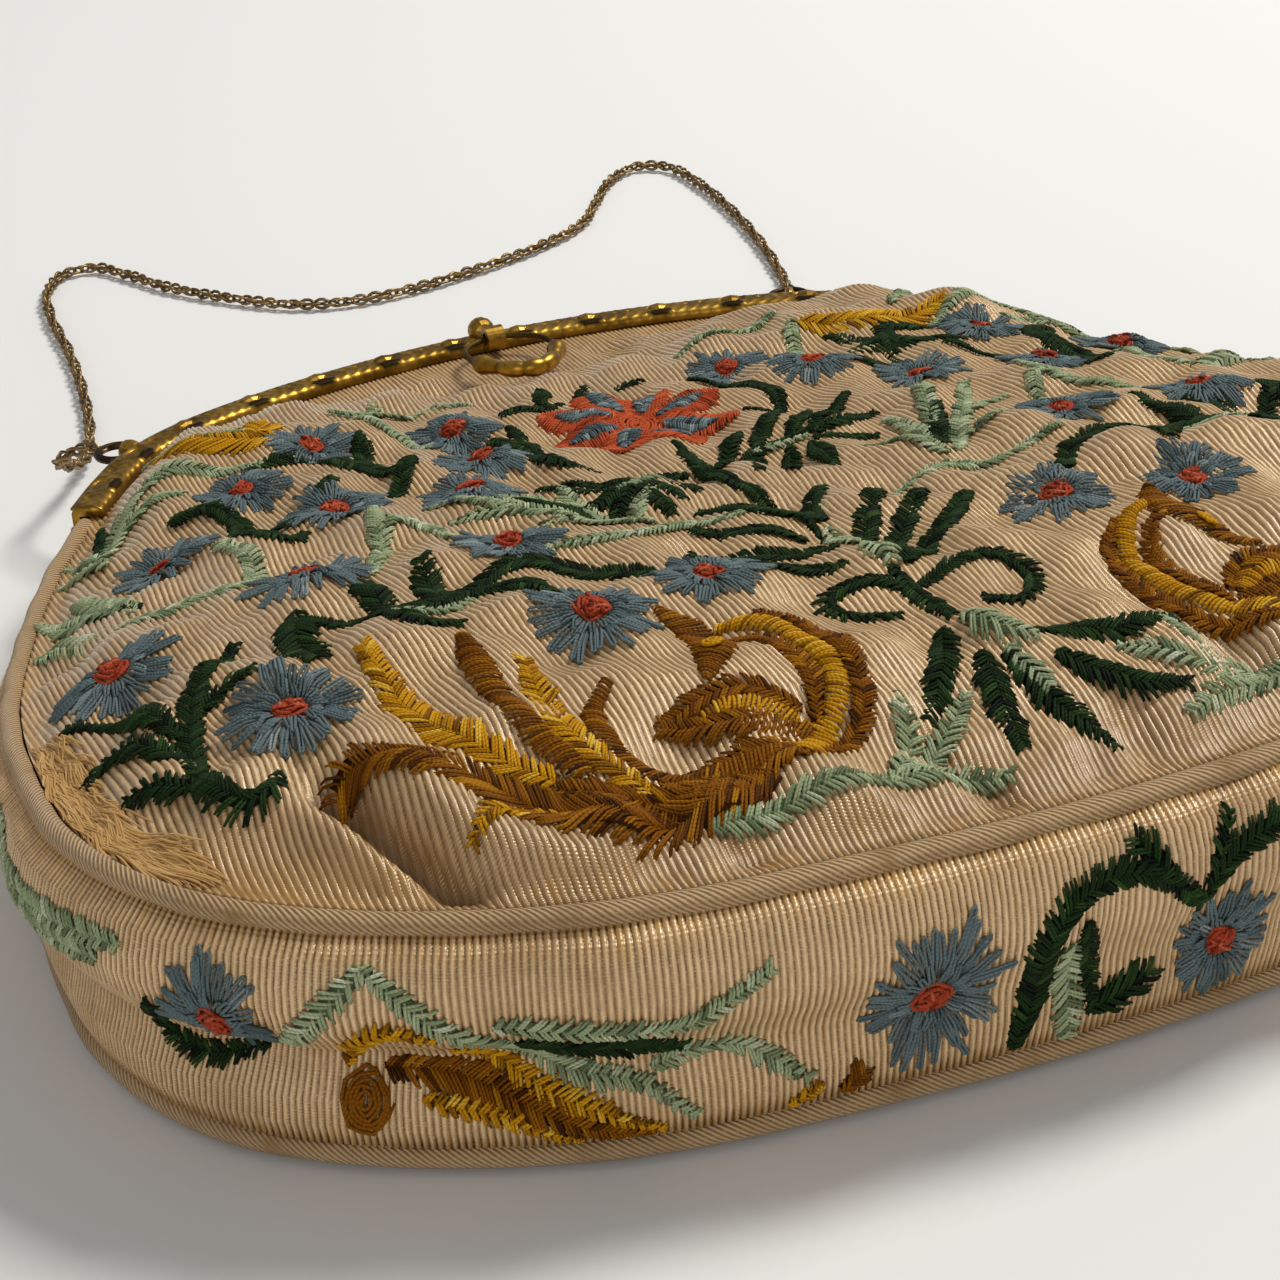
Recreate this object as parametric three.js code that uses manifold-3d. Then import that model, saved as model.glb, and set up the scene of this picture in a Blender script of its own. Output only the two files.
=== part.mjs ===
// Embroidered evening handbag, closed and lying on its back: silk walls with corded seams, an arched
// gilt frame with a clasp pull, and a fine chain handle laid on the same surface.
// Millimetres. +Z points up, out of the front panel; +Y runs from the bag's bottom to its frame; +X goes
// across. The origin is on the resting surface, under the middle of the back panel.
import * as THREE from 'three';
import { mergeVertices } from 'three/addons/utils/BufferGeometryUtils.js';
import Module from 'manifold-3d';

const wasm = await Module();
wasm.setup();

// Clearances and walls
const GAP = 0.3;
const WALL = 1.4;
const CORD_RADIUS = 1.4;
const SEAM_INSET = CORD_RADIUS + GAP;

// Heights of the seams above the resting surface, at the bottom of the bag and at the frame
const FRONT_SEAM_Z = { bottom: 32, frame: 17.1 };
const BACK_SEAM_Z = { bottom: 2.4, frame: 10.9 };
const SEAM_RISE_Y = { from: -60, to: 80 };
const BACK_RISE_Y = { from: 0, to: 84 };

// Front panel: how far it swells, how soon, and how much its middle sags
const DOME = { rise: 12.5, reach: 19, hem: 3.9 };
const MIDDLE_SAG = { depth: 3.4, width: 34 };

// Beside the frame: under the clasp the panel stays flat further in, and at the arms it puffs up sooner
const UNDER_CLASP = { moreHem: 16, width: 30, from: 60, to: 100 };
const ARM_PUFF = { moreRise: 1.5, lessHem: 0.7, lessReach: 7.5, x: 72, width: 20, from: 45, to: 75 };

// Back panel: how far in from its edge it lies flat, at the bottom and at the frame
const BACK_FLAT_FROM = { bottom: 14, frame: 52 };

// Seam outline, right half, from the end of the frame's arm down to the middle of the bottom
const SEAM_HALF = [
  { x: 79.5, y: 84.6 },
  { x: 89, y: 66 },
  { x: 98, y: 40 },
  { x: 105, y: 12 },
  { x: 107.5, y: -14 },
  { x: 106.5, y: -36 },
  { x: 99.5, y: -53.5 },
  { x: 86, y: -66.5 },
  { x: 60, y: -79 },
  { x: 28, y: -84 },
  { x: 0, y: -85.5 },
];
const CORNER_ROW = 7;

// Frame centre-line, right half, from the middle of the arch to the end of the arm
const FRAME_HALF = [
  { x: 0, y: 121.5 },
  { x: 22, y: 119.8 },
  { x: 43, y: 115 },
  { x: 58, y: 109 },
  { x: 67.5, y: 102 },
  { x: 74, y: 93.5 },
  { x: 79.3, y: 85 },
];

// Frame channel: half width, and heights of its faces and of the slot that holds the cloth
const CHANNEL = { half: 2.4, web: 1.2, face: 19.5, slotTop: 18.2, slotBottom: 16, meeting: 14.2 };
const CHANNEL_ROUND = { radius: 0.9, cornerShare: 0.3 };
const FRAME_MIDDLE_Z = 14;
const FRAME_STEPS = 52;

// Cloth in the frame: where it enters the slot, just inside the channel's lip, and the share of the
// frame over which its hem goes from the seam to its full depth in the slot
const SLOT_MOUTH = -CHANNEL.half - GAP;
const HEM_SHARE = 0.06;

// Soft folds that the front panel keeps, as ridges and hollows between two points
const FOLDS = [
  { x0: -88, y0: -50, x1: -52, y1: -72, width: 7, rise: 1.8 },
  { x0: -70, y0: -40, x1: -40, y1: -62, width: 6, rise: -1.3 },
  { x0: 38, y0: -18, x1: 78, y1: -46, width: 7, rise: 1.6 },
  { x0: 52, y0: -10, x1: 92, y1: -30, width: 7, rise: -1.4 },
  { x0: -10, y0: 108, x1: -34, y1: 62, width: 8, rise: -1.2 },
  { x0: 24, y0: 102, x1: 46, y1: 64, width: 8, rise: 1.2 },
  { x0: -92, y0: 0, x1: -70, y1: 30, width: 8, rise: 1.3 },
  { x0: 4, y0: -40, x1: 12, y1: -78, width: 7, rise: 1 },
];

// Gusset: its bulge, and the crease that tucks its lower half under, deepest at the left corner
const GUSSET = { bulge: 4.5, creaseAt: 0.66, creaseWidth: 0.18, crease: 1.5, deepCrease: 9 };
const DEEP_CREASE = { x: -84, y: -66, reach: 46 };

// Grid counts of the cloth walls and of the corded seams
const PANEL_GRID = { across: 28, up: 26 };
const BACK_GRID = { across: 20, up: 18 };
const GUSSET_GRID = { along: 60, across: 8 };
const CORD_STEPS = 60;
const CORD_SIDES = 8;

// Ornament of the frame's face: bosses with a pit below each
const BOSS = { pitch: 12.6, perSide: 5, out: 0.9, along: 2.1, across: 1.35, high: 0.9 };
const PIT = { out: -1.25, along: 1.7, across: 0.75, deep: 1.6 };
const KNOB = { radius: 2.4, out: 2.2, z: 20.3 };

// Clasp pull: a crescent on a bar that turns in the lug, with a bead at each tip
const LUG = { y: 117.2, z: 21, radius: 2.1, bore: 1.1, halfLength: 1.6 };
const PULL = { halfWidth: 7.4, length: 18.5, waist: 0.18, lift: 1.2 };
const PULL_WIRE = { bar: 0.72, middle: 1.75, taper: 0.8, steps: 36, sides: 8 };
const PULL_TIP = { angle: 1.25, width: 0.22, radius: 0.55 };

// Eyelets on the shoulders and the jump rings in them
const EYELET = { leftX: -64, rightX: 54, out: 4, z: 17.2, radius: 2, wire: 0.8 };
const RING = { radius: 3.2, wire: 0.7, steps: 24, sides: 8 };

// Hinge rivets at the ends of the arms
const RIVET = { radius: 1.5, head: 2.3, headTop: 1.85, headThick: 0.8, inner: 2.6, back: 2.4 };

// Facet counts of the small metalwork
const FACETS = { ball: 8, ballRings: 6, knob: 14, knobRings: 8, tube: 8, torus: 16, pin: 16, barrel: 20 };

// Step for slopes, as a share or an angle, and the distance within which corners are one
const SLOPE_STEP = 0.01;
const WELD = 1e-4;

// Chain: radius of its tube, and its route on the surface, between the two rings
const CHAIN_RADIUS = 1.3;
const CHAIN_STEPS = 78;
const CHAIN_LIES_AT = 1.45;
const CHAIN_LEAD = 4;
const CHAIN_ROUTE = [
  { x: -76, y: 124, z: 12.5 },
  { x: -72, y: 136, z: 6.5 },
  { x: -67.5, y: 148, z: 2.6 },
  { x: -63.5, y: 163, z: CHAIN_LIES_AT },
  { x: -60, y: 184, z: CHAIN_LIES_AT },
  { x: -57.5, y: 207, z: CHAIN_LIES_AT },
  { x: -56, y: 231, z: CHAIN_LIES_AT },
  { x: -53, y: 247, z: CHAIN_LIES_AT },
  { x: -47.5, y: 256.5, z: CHAIN_LIES_AT },
  { x: -41, y: 257, z: CHAIN_LIES_AT },
  { x: -36, y: 248, z: CHAIN_LIES_AT },
  { x: -30.5, y: 235, z: CHAIN_LIES_AT },
  { x: -21, y: 220.5, z: CHAIN_LIES_AT },
  { x: -10.5, y: 209, z: CHAIN_LIES_AT },
  { x: 0, y: 204.5, z: CHAIN_LIES_AT },
  { x: 13, y: 204.5, z: CHAIN_LIES_AT },
  { x: 30, y: 209, z: CHAIN_LIES_AT },
  { x: 46, y: 215.5, z: CHAIN_LIES_AT },
  { x: 58.5, y: 224, z: CHAIN_LIES_AT },
  { x: 67.5, y: 237, z: CHAIN_LIES_AT },
  { x: 76.5, y: 250, z: CHAIN_LIES_AT },
  { x: 85, y: 256.5, z: CHAIN_LIES_AT },
  { x: 91.5, y: 252, z: CHAIN_LIES_AT },
  { x: 92.5, y: 236, z: CHAIN_LIES_AT },
  { x: 89, y: 209, z: CHAIN_LIES_AT },
  { x: 83.5, y: 182, z: CHAIN_LIES_AT },
  { x: 78, y: 163, z: CHAIN_LIES_AT },
  { x: 72.5, y: 149, z: 2.6 },
  { x: 67, y: 138.5, z: 6.4 },
  { x: 62.5, y: 130, z: 12 },
];

// Finishes
const silk = new THREE.MeshStandardMaterial({ color: 0xd9bf98, roughness: 0.62, metalness: 0 });
const twill = new THREE.MeshStandardMaterial({ color: 0xc19a67, roughness: 0.8, metalness: 0 });
const gilt = new THREE.MeshStandardMaterial({ color: 0xb08a35, roughness: 0.38, metalness: 1 });
const brass = new THREE.MeshStandardMaterial({ color: 0x6e5f3c, roughness: 0.5, metalness: 1 });
const tarnish = new THREE.MeshStandardMaterial({ color: 0x2e251a, roughness: 0.55, metalness: 1 });

const { lerp, smoothstep } = THREE.MathUtils;

// A smooth curve through a half outline and its mirror image, from the left end to the right end.
function mirroredCurve(half, middleFirst) {
  const outward = middleFirst ? half : [...half].reverse();
  const right = outward.map((row) => new THREE.Vector3(row.x, row.y, 0));
  const left = right.slice(1).reverse().map((p) => new THREE.Vector3(-p.x, p.y, 0));
  return new THREE.CatmullRomCurve3([...left, ...right], false, 'centripetal');
}

const seamCurve = mirroredCurve(SEAM_HALF, false);
const frameCurve = mirroredCurve(FRAME_HALF, true);
const cornerShare = CORNER_ROW / (2 * (SEAM_HALF.length - 1));

// Point and outward direction of a curve; turn is +1 where outward lies to the right of travel, else -1.
function edgeFrame(curve, share, turn) {
  const point = curve.getPoint(share);
  const tangent = curve.getTangent(share);
  const out = new THREE.Vector3(turn * tangent.y, -turn * tangent.x, 0).normalize();
  return { point, tangent, out };
}

const seamFrame = (share) => edgeFrame(seamCurve, share, 1);
const frameFrame = (share) => edgeFrame(frameCurve, share, -1);

// The seam or frame edge, moved outwards by a distance.
function offsetPoint({ point, out }, distance) {
  return point.clone().addScaledVector(out, distance);
}

// Share of the frame curve whose point has the given x.
function frameShareAtX(x) {
  const samples = 800;
  const gapAt = (_, i) => Math.abs(frameCurve.getPoint(i / samples).x - x);
  const gaps = Array.from({ length: samples + 1 }, gapAt);
  return gaps.indexOf(Math.min(...gaps)) / samples;
}

// Closed outline of the bag in plan, for distances to its edge.
const OUTLINE_SAMPLES = 240;
const outline = [];
for (let i = 0; i <= OUTLINE_SAMPLES; i += 1) {
  outline.push(seamCurve.getPoint(i / OUTLINE_SAMPLES));
  outline.push(frameCurve.getPoint(i / OUTLINE_SAMPLES));
}

function distanceToEdge(x, y) {
  const here = new THREE.Vector3(x, y, 0);
  return Math.min(...outline.map((p) => p.distanceTo(here)));
}

const frontSeamHeight = (y) =>
  lerp(FRONT_SEAM_Z.bottom, FRONT_SEAM_Z.frame, smoothstep(y, SEAM_RISE_Y.from, SEAM_RISE_Y.to));
const backSeamHeight = (y) =>
  lerp(BACK_SEAM_Z.bottom, BACK_SEAM_Z.frame, smoothstep(y, BACK_RISE_Y.from, BACK_RISE_Y.to));

// Height added by one fold: a smooth ridge along its line, fading past both ends.
function foldHeight(fold, x, y) {
  const here = new THREE.Vector3(x, y, 0);
  const start = new THREE.Vector3(fold.x0, fold.y0, 0);
  const end = new THREE.Vector3(fold.x1, fold.y1, 0);
  const nearest = new THREE.Line3(start, end).closestPointToPoint(here, true, new THREE.Vector3());
  return fold.rise * Math.exp(-((nearest.distanceTo(here) / fold.width) ** 2));
}

// Middle of the front wall: seam height, plus a dome that starts past the hem, a sag and the folds.
function frontHeight(x, y) {
  const clasp = Math.exp(-((x / UNDER_CLASP.width) ** 2)) * smoothstep(y, UNDER_CLASP.from, UNDER_CLASP.to);
  const fromArm = (Math.abs(x) - ARM_PUFF.x) / ARM_PUFF.width;
  const arm = Math.exp(-(fromArm ** 2)) * smoothstep(y, ARM_PUFF.from, ARM_PUFF.to);
  const hem = DOME.hem + UNDER_CLASP.moreHem * clasp - ARM_PUFF.lessHem * arm;
  const inside = Math.max(0, distanceToEdge(x, y) - hem);
  const swell = 1 - Math.exp(-inside / (DOME.reach - ARM_PUFF.lessReach * arm));
  const sag = MIDDLE_SAG.depth * Math.exp(-((x / MIDDLE_SAG.width) ** 2)) * swell;
  const folds = FOLDS.reduce((sum, fold) => sum + foldHeight(fold, x, y), 0) * swell;
  return frontSeamHeight(y) + (DOME.rise + ARM_PUFF.moreRise * arm) * swell - sag + folds;
}

// Middle of the back wall: flat on the surface, turned up to the seam and the frame.
function backHeight(x, y) {
  const towardFrame = smoothstep(y, BACK_RISE_Y.from, BACK_RISE_Y.to);
  const flatFrom = lerp(BACK_FLAT_FROM.bottom, BACK_FLAT_FROM.frame, towardFrame);
  const turnedUp = 1 - smoothstep(distanceToEdge(x, y), DOME.hem, flatFrom);
  return WALL / 2 + (backSeamHeight(y) - WALL / 2) * turnedUp;
}

// Distance out from the frame's centre-line, going from the seam's inset at the arms' ends to a full depth.
function hemOffset(across, full) {
  return lerp(-SEAM_INSET, full, smoothstep(Math.min(across, 1 - across), 0, HEM_SHARE));
}

// Plan position on a panel: a patch blended from its four edges, with across and up from 0 to 1.
function panelPoint(across, up) {
  const bottomAt = (s) => offsetPoint(seamFrame(lerp(cornerShare, 1 - cornerShare, s)), -SEAM_INSET);
  const leftAt = (t) => offsetPoint(seamFrame(cornerShare * (1 - t)), -SEAM_INSET);
  const rightAt = (t) => offsetPoint(seamFrame(1 - cornerShare * (1 - t)), -SEAM_INSET);
  const topAt = (s) => offsetPoint(frameFrame(s), hemOffset(s, SLOT_MOUTH));
  const sides = leftAt(up).lerp(rightAt(up), across);
  const ends = bottomAt(across).lerp(topAt(across), up);
  const bottomCorners = bottomAt(0).lerp(bottomAt(1), across);
  const topCorners = leftAt(1).lerp(rightAt(1), across);
  return sides.add(ends).sub(bottomCorners.lerp(topCorners, up));
}

// Closed wall between two grids of points of the same size, joined round their rim. Seen with the columns
// running right and the rows running up, the first grid faces the viewer.
function wallGeometry(rows, columns, nearAt, farAt) {
  const points = [];
  for (const at of [nearAt, farAt]) {
    for (let j = 0; j <= rows; j += 1) {
      for (let i = 0; i <= columns; i += 1) points.push(at(i / columns, j / rows));
    }
  }
  const width = columns + 1;
  const inner = width * (rows + 1);
  const index = [];
  const quad = (a, b, c, d) => index.push(a, b, c, a, c, d);
  for (let j = 0; j < rows; j += 1) {
    for (let i = 0; i < columns; i += 1) {
      const a = j * width + i;
      quad(a, a + 1, a + width + 1, a + width);
      quad(inner + a, inner + a + width, inner + a + width + 1, inner + a + 1);
    }
  }
  for (let i = 0; i < columns; i += 1) {
    const far = rows * width + i;
    quad(i, inner + i, inner + i + 1, i + 1);
    quad(far, far + 1, inner + far + 1, inner + far);
  }
  for (let j = 0; j < rows; j += 1) {
    const left = j * width;
    const right = left + columns;
    quad(left, left + width, inner + left + width, inner + left);
    quad(right, inner + right, inner + right + width, right + width);
  }
  return new THREE.BufferGeometry().setFromPoints(points).setIndex(index);
}

// Plan position of a panel's grid: even rows up to the slot's mouth, then one row deep in the frame's slot.
function panelGridPoint(across, t, rows) {
  if (t < 1) return panelPoint(across, (t * rows) / (rows - 1));
  return offsetPoint(frameFrame(across), hemOffset(across, CHANNEL.web - GAP));
}

function panelGeometry(grid, heightAt) {
  const at = (lift) => (s, t) => {
    const p = panelGridPoint(s, t, grid.up);
    return p.setZ(heightAt(p.x, p.y) + lift);
  };
  return wallGeometry(grid.up, grid.across, at(WALL / 2), at(-WALL / 2));
}

// Gusset wall: its profile runs from the front seam to the back seam, bulging and then tucked in.
function gussetMiddle(share, down) {
  const { point, out } = seamFrame(share);
  const high = frontSeamHeight(point.y) - SEAM_INSET;
  const low = backSeamHeight(point.y) + SEAM_INSET;
  const depth = (high - low) / (FRONT_SEAM_Z.bottom - BACK_SEAM_Z.bottom);
  const toDeep = Math.hypot(point.x - DEEP_CREASE.x, point.y - DEEP_CREASE.y) / DEEP_CREASE.reach;
  const crease = GUSSET.crease + GUSSET.deepCrease * Math.exp(-(toDeep ** 2));
  const tuck = crease * Math.exp(-(((down - GUSSET.creaseAt) / GUSSET.creaseWidth) ** 2));
  const swing = Math.sin(Math.PI * down);
  const offset = depth * (GUSSET.bulge * swing - tuck * swing);
  return offsetPoint({ point, out }, offset).setZ(lerp(high, low, down));
}

function gussetGeometry() {
  const at = (side) => (share, down) => {
    const { tangent } = seamFrame(share);
    const above = gussetMiddle(share, Math.max(0, down - SLOPE_STEP));
    const below = gussetMiddle(share, Math.min(1, down + SLOPE_STEP));
    const normal = below.sub(above).cross(tangent).normalize();
    return gussetMiddle(share, down).addScaledVector(normal, (side * WALL) / 2);
  };
  return wallGeometry(GUSSET_GRID.across, GUSSET_GRID.along, at(-1), at(1));
}

// Round section with the given number of sides.
function roundSection(radius, sides) {
  const corners = Array.from({ length: sides }, (_, i) => {
    const angle = (2 * Math.PI * i) / sides;
    return new THREE.Vector2(radius * Math.cos(angle), radius * Math.sin(angle));
  });
  return new THREE.Shape(corners);
}

function cordGeometry(heightAt) {
  const points = Array.from({ length: CORD_STEPS + 1 }, (_, i) => {
    const p = seamCurve.getPoint(i / CORD_STEPS);
    return p.setZ(heightAt(p.y));
  });
  const extrudePath = new THREE.CatmullRomCurve3(points);
  return new THREE.ExtrudeGeometry(roundSection(CORD_RADIUS, CORD_SIDES), { steps: CORD_STEPS, extrudePath });
}

// Solids for joining and cutting
function solid(geometry) {
  const bare = geometry.clone();
  bare.deleteAttribute('normal');
  bare.deleteAttribute('uv');
  const merged = mergeVertices(bare, WELD);
  const mesh = new wasm.Mesh({
    numProp: 3,
    vertProperties: new Float32Array(merged.attributes.position.array),
    triVerts: new Uint32Array(merged.index.array),
  });
  return new wasm.Manifold(mesh);
}

function geometryOf(manifold) {
  const { vertProperties, triVerts } = manifold.getMesh();
  const geometry = new THREE.BufferGeometry();
  geometry.setAttribute('position', new THREE.BufferAttribute(vertProperties, 3));
  return geometry.setIndex(new THREE.BufferAttribute(triVerts, 1));
}

// Channel section: x runs down from the middle of the frame, y runs outwards.
function channelSection() {
  const c = CHANNEL;
  const round = CHANNEL_ROUND.radius;
  const corner = round * CHANNEL_ROUND.cornerShare;
  const corners = [
    [c.face, -c.half],
    [c.face, c.half - round],
    [c.face - corner, c.half - corner],
    [c.face - round, c.half],
    [c.meeting, c.half],
    [c.meeting, -c.half],
    [c.slotBottom, -c.half],
    [c.slotBottom, c.web],
    [c.slotTop, c.web],
    [c.slotTop, -c.half],
  ];
  return new THREE.Shape(corners.map(([z, out]) => new THREE.Vector2(FRAME_MIDDLE_Z - z, out)));
}

function channelGeometry() {
  const points = Array.from({ length: FRAME_STEPS + 1 }, (_, i) =>
    frameCurve.getPoint(i / FRAME_STEPS).setZ(FRAME_MIDDLE_Z));
  const extrudePath = new THREE.CatmullRomCurve3(points);
  return new THREE.ExtrudeGeometry(channelSection(), { steps: FRAME_STEPS, extrudePath });
}

// A ball stretched along the frame, across it and upwards, at a distance out from its centre-line.
function frameBall(share, out, z, along, across, high) {
  const at = frameFrame(share);
  const place = offsetPoint(at, out).setZ(z);
  const axes = new THREE.Matrix4().makeBasis(at.tangent, at.out, new THREE.Vector3(0, 0, 1));
  axes.setPosition(place);
  const ball = new THREE.SphereGeometry(1, FACETS.ball, FACETS.ballRings);
  return ball.scale(along, across, high).applyMatrix4(axes);
}

const bossShares = [];
for (let k = 0; k < BOSS.perSide; k += 1) {
  const x = (k + 0.5) * BOSS.pitch;
  bossShares.push(frameShareAtX(x), frameShareAtX(-x));
}

// Place on the frame of the left (-1) or right (1) eyelet.
const eyeletFrame = (side) => frameFrame(frameShareAtX(side < 0 ? EYELET.leftX : EYELET.rightX));

// Torus whose hole looks along the frame, standing on its outer edge.
function eyeletGeometry(side) {
  const at = eyeletFrame(side);
  const axes = new THREE.Matrix4().makeBasis(at.out, new THREE.Vector3(0, 0, 1), at.tangent);
  axes.setPosition(offsetPoint(at, EYELET.out).setZ(EYELET.z));
  const torus = new THREE.TorusGeometry(EYELET.radius, EYELET.wire, FACETS.tube, FACETS.torus);
  return torus.applyMatrix4(axes);
}

// Round bar along X
function barAlongX(radius, length, sides) {
  return new THREE.CylinderGeometry(radius, radius, length, sides).rotateZ(Math.PI / 2);
}

// Lug of the clasp: a barrel on the frame's inner edge with a foot that reaches the channel's face.
function lugSolid() {
  const length = 2 * LUG.halfLength;
  const barrel = solid(barAlongX(LUG.radius, length, FACETS.barrel).translate(0, LUG.y, LUG.z));
  const footBack = FRAME_HALF[0].y + CHANNEL.half / 2;
  const footLow = CHANNEL.face - WALL / 2;
  const footDepth = footBack - LUG.y;
  const footHeight = LUG.z - footLow;
  const footGeometry = new THREE.BoxGeometry(length, footDepth, footHeight);
  const foot = solid(footGeometry.translate(0, LUG.y + footDepth / 2, footLow + footHeight / 2));
  const bore = solid(barAlongX(LUG.bore, 2 * length, FACETS.barrel).translate(0, LUG.y, LUG.z));
  return barrel.add(foot).subtract(bore);
}

// Seat of a hinge rivet, cut half from each frame at the end of an arm.
function rivetPlace(side) {
  const arm = frameFrame(side < 0 ? 0 : 1);
  const inwards = arm.tangent.clone().multiplyScalar(side < 0 ? 1 : -1);
  return arm.point.clone().addScaledVector(inwards, RIVET.back).setZ(FRAME_MIDDLE_Z);
}

function rivetSeat(side) {
  const { x, y, z } = rivetPlace(side);
  const length = 6 * CHANNEL.half;
  const headFrom = x + side * (CHANNEL.half + length / 2);
  const pin = solid(barAlongX(RIVET.radius + GAP, length, FACETS.pin).translate(x, y, z));
  return pin.add(solid(barAlongX(RIVET.head + GAP, length, FACETS.pin).translate(headFrom, y, z)));
}

function frameFrontGeometry() {
  let frame = solid(channelGeometry());
  const z = CHANNEL.face;
  for (const share of bossShares) {
    frame = frame.add(solid(frameBall(share, BOSS.out, z, BOSS.along, BOSS.across, BOSS.high)));
  }
  for (const share of bossShares) {
    frame = frame.subtract(solid(frameBall(share, PIT.out, z, PIT.along, PIT.across, PIT.deep)));
  }
  const knob = new THREE.SphereGeometry(KNOB.radius, FACETS.knob, FACETS.knobRings);
  frame = frame.add(solid(knob.translate(0, FRAME_HALF[0].y + KNOB.out, KNOB.z)));
  frame = frame.add(lugSolid());
  for (const side of [-1, 1]) frame = frame.add(solid(eyeletGeometry(side)));
  return geometryOf(frame.subtract(rivetSeat(-1)).subtract(rivetSeat(1)));
}

// The back half of the frame is the plain channel turned over about the frame's middle plane.
function frameBackGeometry() {
  const plain = channelGeometry().translate(0, 0, -FRAME_MIDDLE_Z);
  const turned = plain.scale(-1, 1, -1).translate(0, 0, FRAME_MIDDLE_Z);
  return geometryOf(solid(turned).subtract(rivetSeat(-1)).subtract(rivetSeat(1)));
}

// Rivet: a pin along X with a low round head outside the arm.
function rivetGeometry(side) {
  const { radius, head, headTop, headThick, inner } = RIVET;
  const outer = CHANNEL.half + GAP;
  const rows = [
    [0, -inner],
    [radius, -inner],
    [radius, outer],
    [head, outer],
    [headTop, outer + headThick],
    [0, outer + headThick],
  ];
  const profile = rows.map(([r, along]) => new THREE.Vector2(r, along));
  const place = rivetPlace(side);
  const turned = new THREE.LatheGeometry(profile, FACETS.pin).rotateZ((-side * Math.PI) / 2);
  return turned.translate(place.x, place.y, place.z);
}

// Crescent pull: a loop whose wire is a thin bar at the lug, thick in the middle, with a bead at each tip.
function pullGeometry() {
  const reach = LUG.y - PULL.length;
  const rest = frontHeight(0, reach) + WALL / 2 + PULL_WIRE.middle + PULL.lift;
  const slope = Math.atan2(rest - LUG.z, PULL.length);
  const lie = new THREE.Vector3(0, -Math.cos(slope), Math.sin(slope));
  const normal = new THREE.Vector3(0, Math.sin(slope), Math.cos(slope));
  const middleAt = (angle) => {
    const side = PULL.halfWidth * Math.sin(angle) * (1 - PULL.waist * Math.cos(angle));
    const drop = (PULL.length / 2) * (1 + Math.cos(angle));
    return new THREE.Vector3(side, LUG.y, LUG.z).addScaledVector(lie, drop);
  };
  const radiusAt = (angle) => {
    const thick = ((1 + Math.cos(angle)) / 2) ** PULL_WIRE.taper;
    const fromTip = (Math.abs(angle) - PULL_TIP.angle) / PULL_TIP.width;
    return lerp(PULL_WIRE.bar, PULL_WIRE.middle, thick) + PULL_TIP.radius * Math.exp(-(fromTip ** 2));
  };
  const geometry = new THREE.TorusGeometry(1, 1 / 2, PULL_WIRE.sides, PULL_WIRE.steps);
  const merged = mergeVertices(geometry.deleteAttribute('normal').deleteAttribute('uv'), WELD);
  const position = merged.attributes.position;
  const p = new THREE.Vector3();
  for (let i = 0; i < position.count; i += 1) {
    p.fromBufferAttribute(position, i);
    const angle = Math.atan2(p.y, p.x);
    const around = Math.atan2(p.z, Math.hypot(p.x, p.y) - 1);
    const middle = middleAt(angle);
    const ahead = middleAt(angle + SLOPE_STEP).sub(middleAt(angle - SLOPE_STEP));
    const side = ahead.cross(normal).normalize();
    const radius = radiusAt(angle);
    middle.addScaledVector(side, radius * Math.cos(around));
    middle.addScaledVector(normal, radius * Math.sin(around));
    position.setXYZ(i, middle.x, middle.y, middle.z);
  }
  return merged;
}

// Jump ring lying level, its wire through the eyelet.
function ringCentre(side) {
  return offsetPoint(eyeletFrame(side), EYELET.out + RING.radius).setZ(EYELET.z);
}

function ringGeometry(side) {
  const { x, y, z } = ringCentre(side);
  return new THREE.TorusGeometry(RING.radius, RING.wire, RING.sides, RING.steps).translate(x, y, z);
}

// Chain: one tube from ring to ring.
function chainGeometry() {
  const leaveAt = (side, lead) => {
    const { out } = eyeletFrame(side);
    return ringCentre(side).addScaledVector(out, RING.radius + RING.wire + GAP + lead);
  };
  const route = CHAIN_ROUTE.map((row) => new THREE.Vector3(row.x, row.y, row.z));
  const start = [leaveAt(-1, 0), leaveAt(-1, CHAIN_LEAD)];
  const end = [leaveAt(1, CHAIN_LEAD), leaveAt(1, 0)];
  const extrudePath = new THREE.CatmullRomCurve3([...start, ...route, ...end], false, 'centripetal');
  const section = roundSection(CHAIN_RADIUS, CORD_SIDES);
  return new THREE.ExtrudeGeometry(section, { steps: CHAIN_STEPS, extrudePath });
}

const bag = new THREE.Group();

function addPiece(name, geometry, material) {
  const mesh = new THREE.Mesh(geometry, material);
  mesh.name = name;
  bag.add(mesh);
}

addPiece('front_panel', panelGeometry(PANEL_GRID, frontHeight), silk);
addPiece('back_panel', panelGeometry(BACK_GRID, backHeight), silk);
addPiece('gusset', gussetGeometry(), silk);
addPiece('piping_front', cordGeometry(frontSeamHeight), twill);
addPiece('piping_back', cordGeometry(backSeamHeight), twill);
addPiece('frame_front', frameFrontGeometry(), gilt);
addPiece('frame_back', frameBackGeometry(), gilt);
addPiece('frame_rivet_left', rivetGeometry(-1), gilt);
addPiece('frame_rivet_right', rivetGeometry(1), gilt);
addPiece('clasp_pull', pullGeometry(), gilt);
addPiece('chain_ring_left', ringGeometry(-1), tarnish);
addPiece('chain_ring_right', ringGeometry(1), tarnish);
addPiece('chain', chainGeometry(), brass);

export default bag;
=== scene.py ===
"""Looks of the embroidered evening handbag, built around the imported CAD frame.

Lengths in the tables are millimetres in the part's frame: +Z out of the front panel, +Y to the clasp frame.
"""

import math

import bpy
import numpy as np
from mathutils import Matrix, Vector


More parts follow.
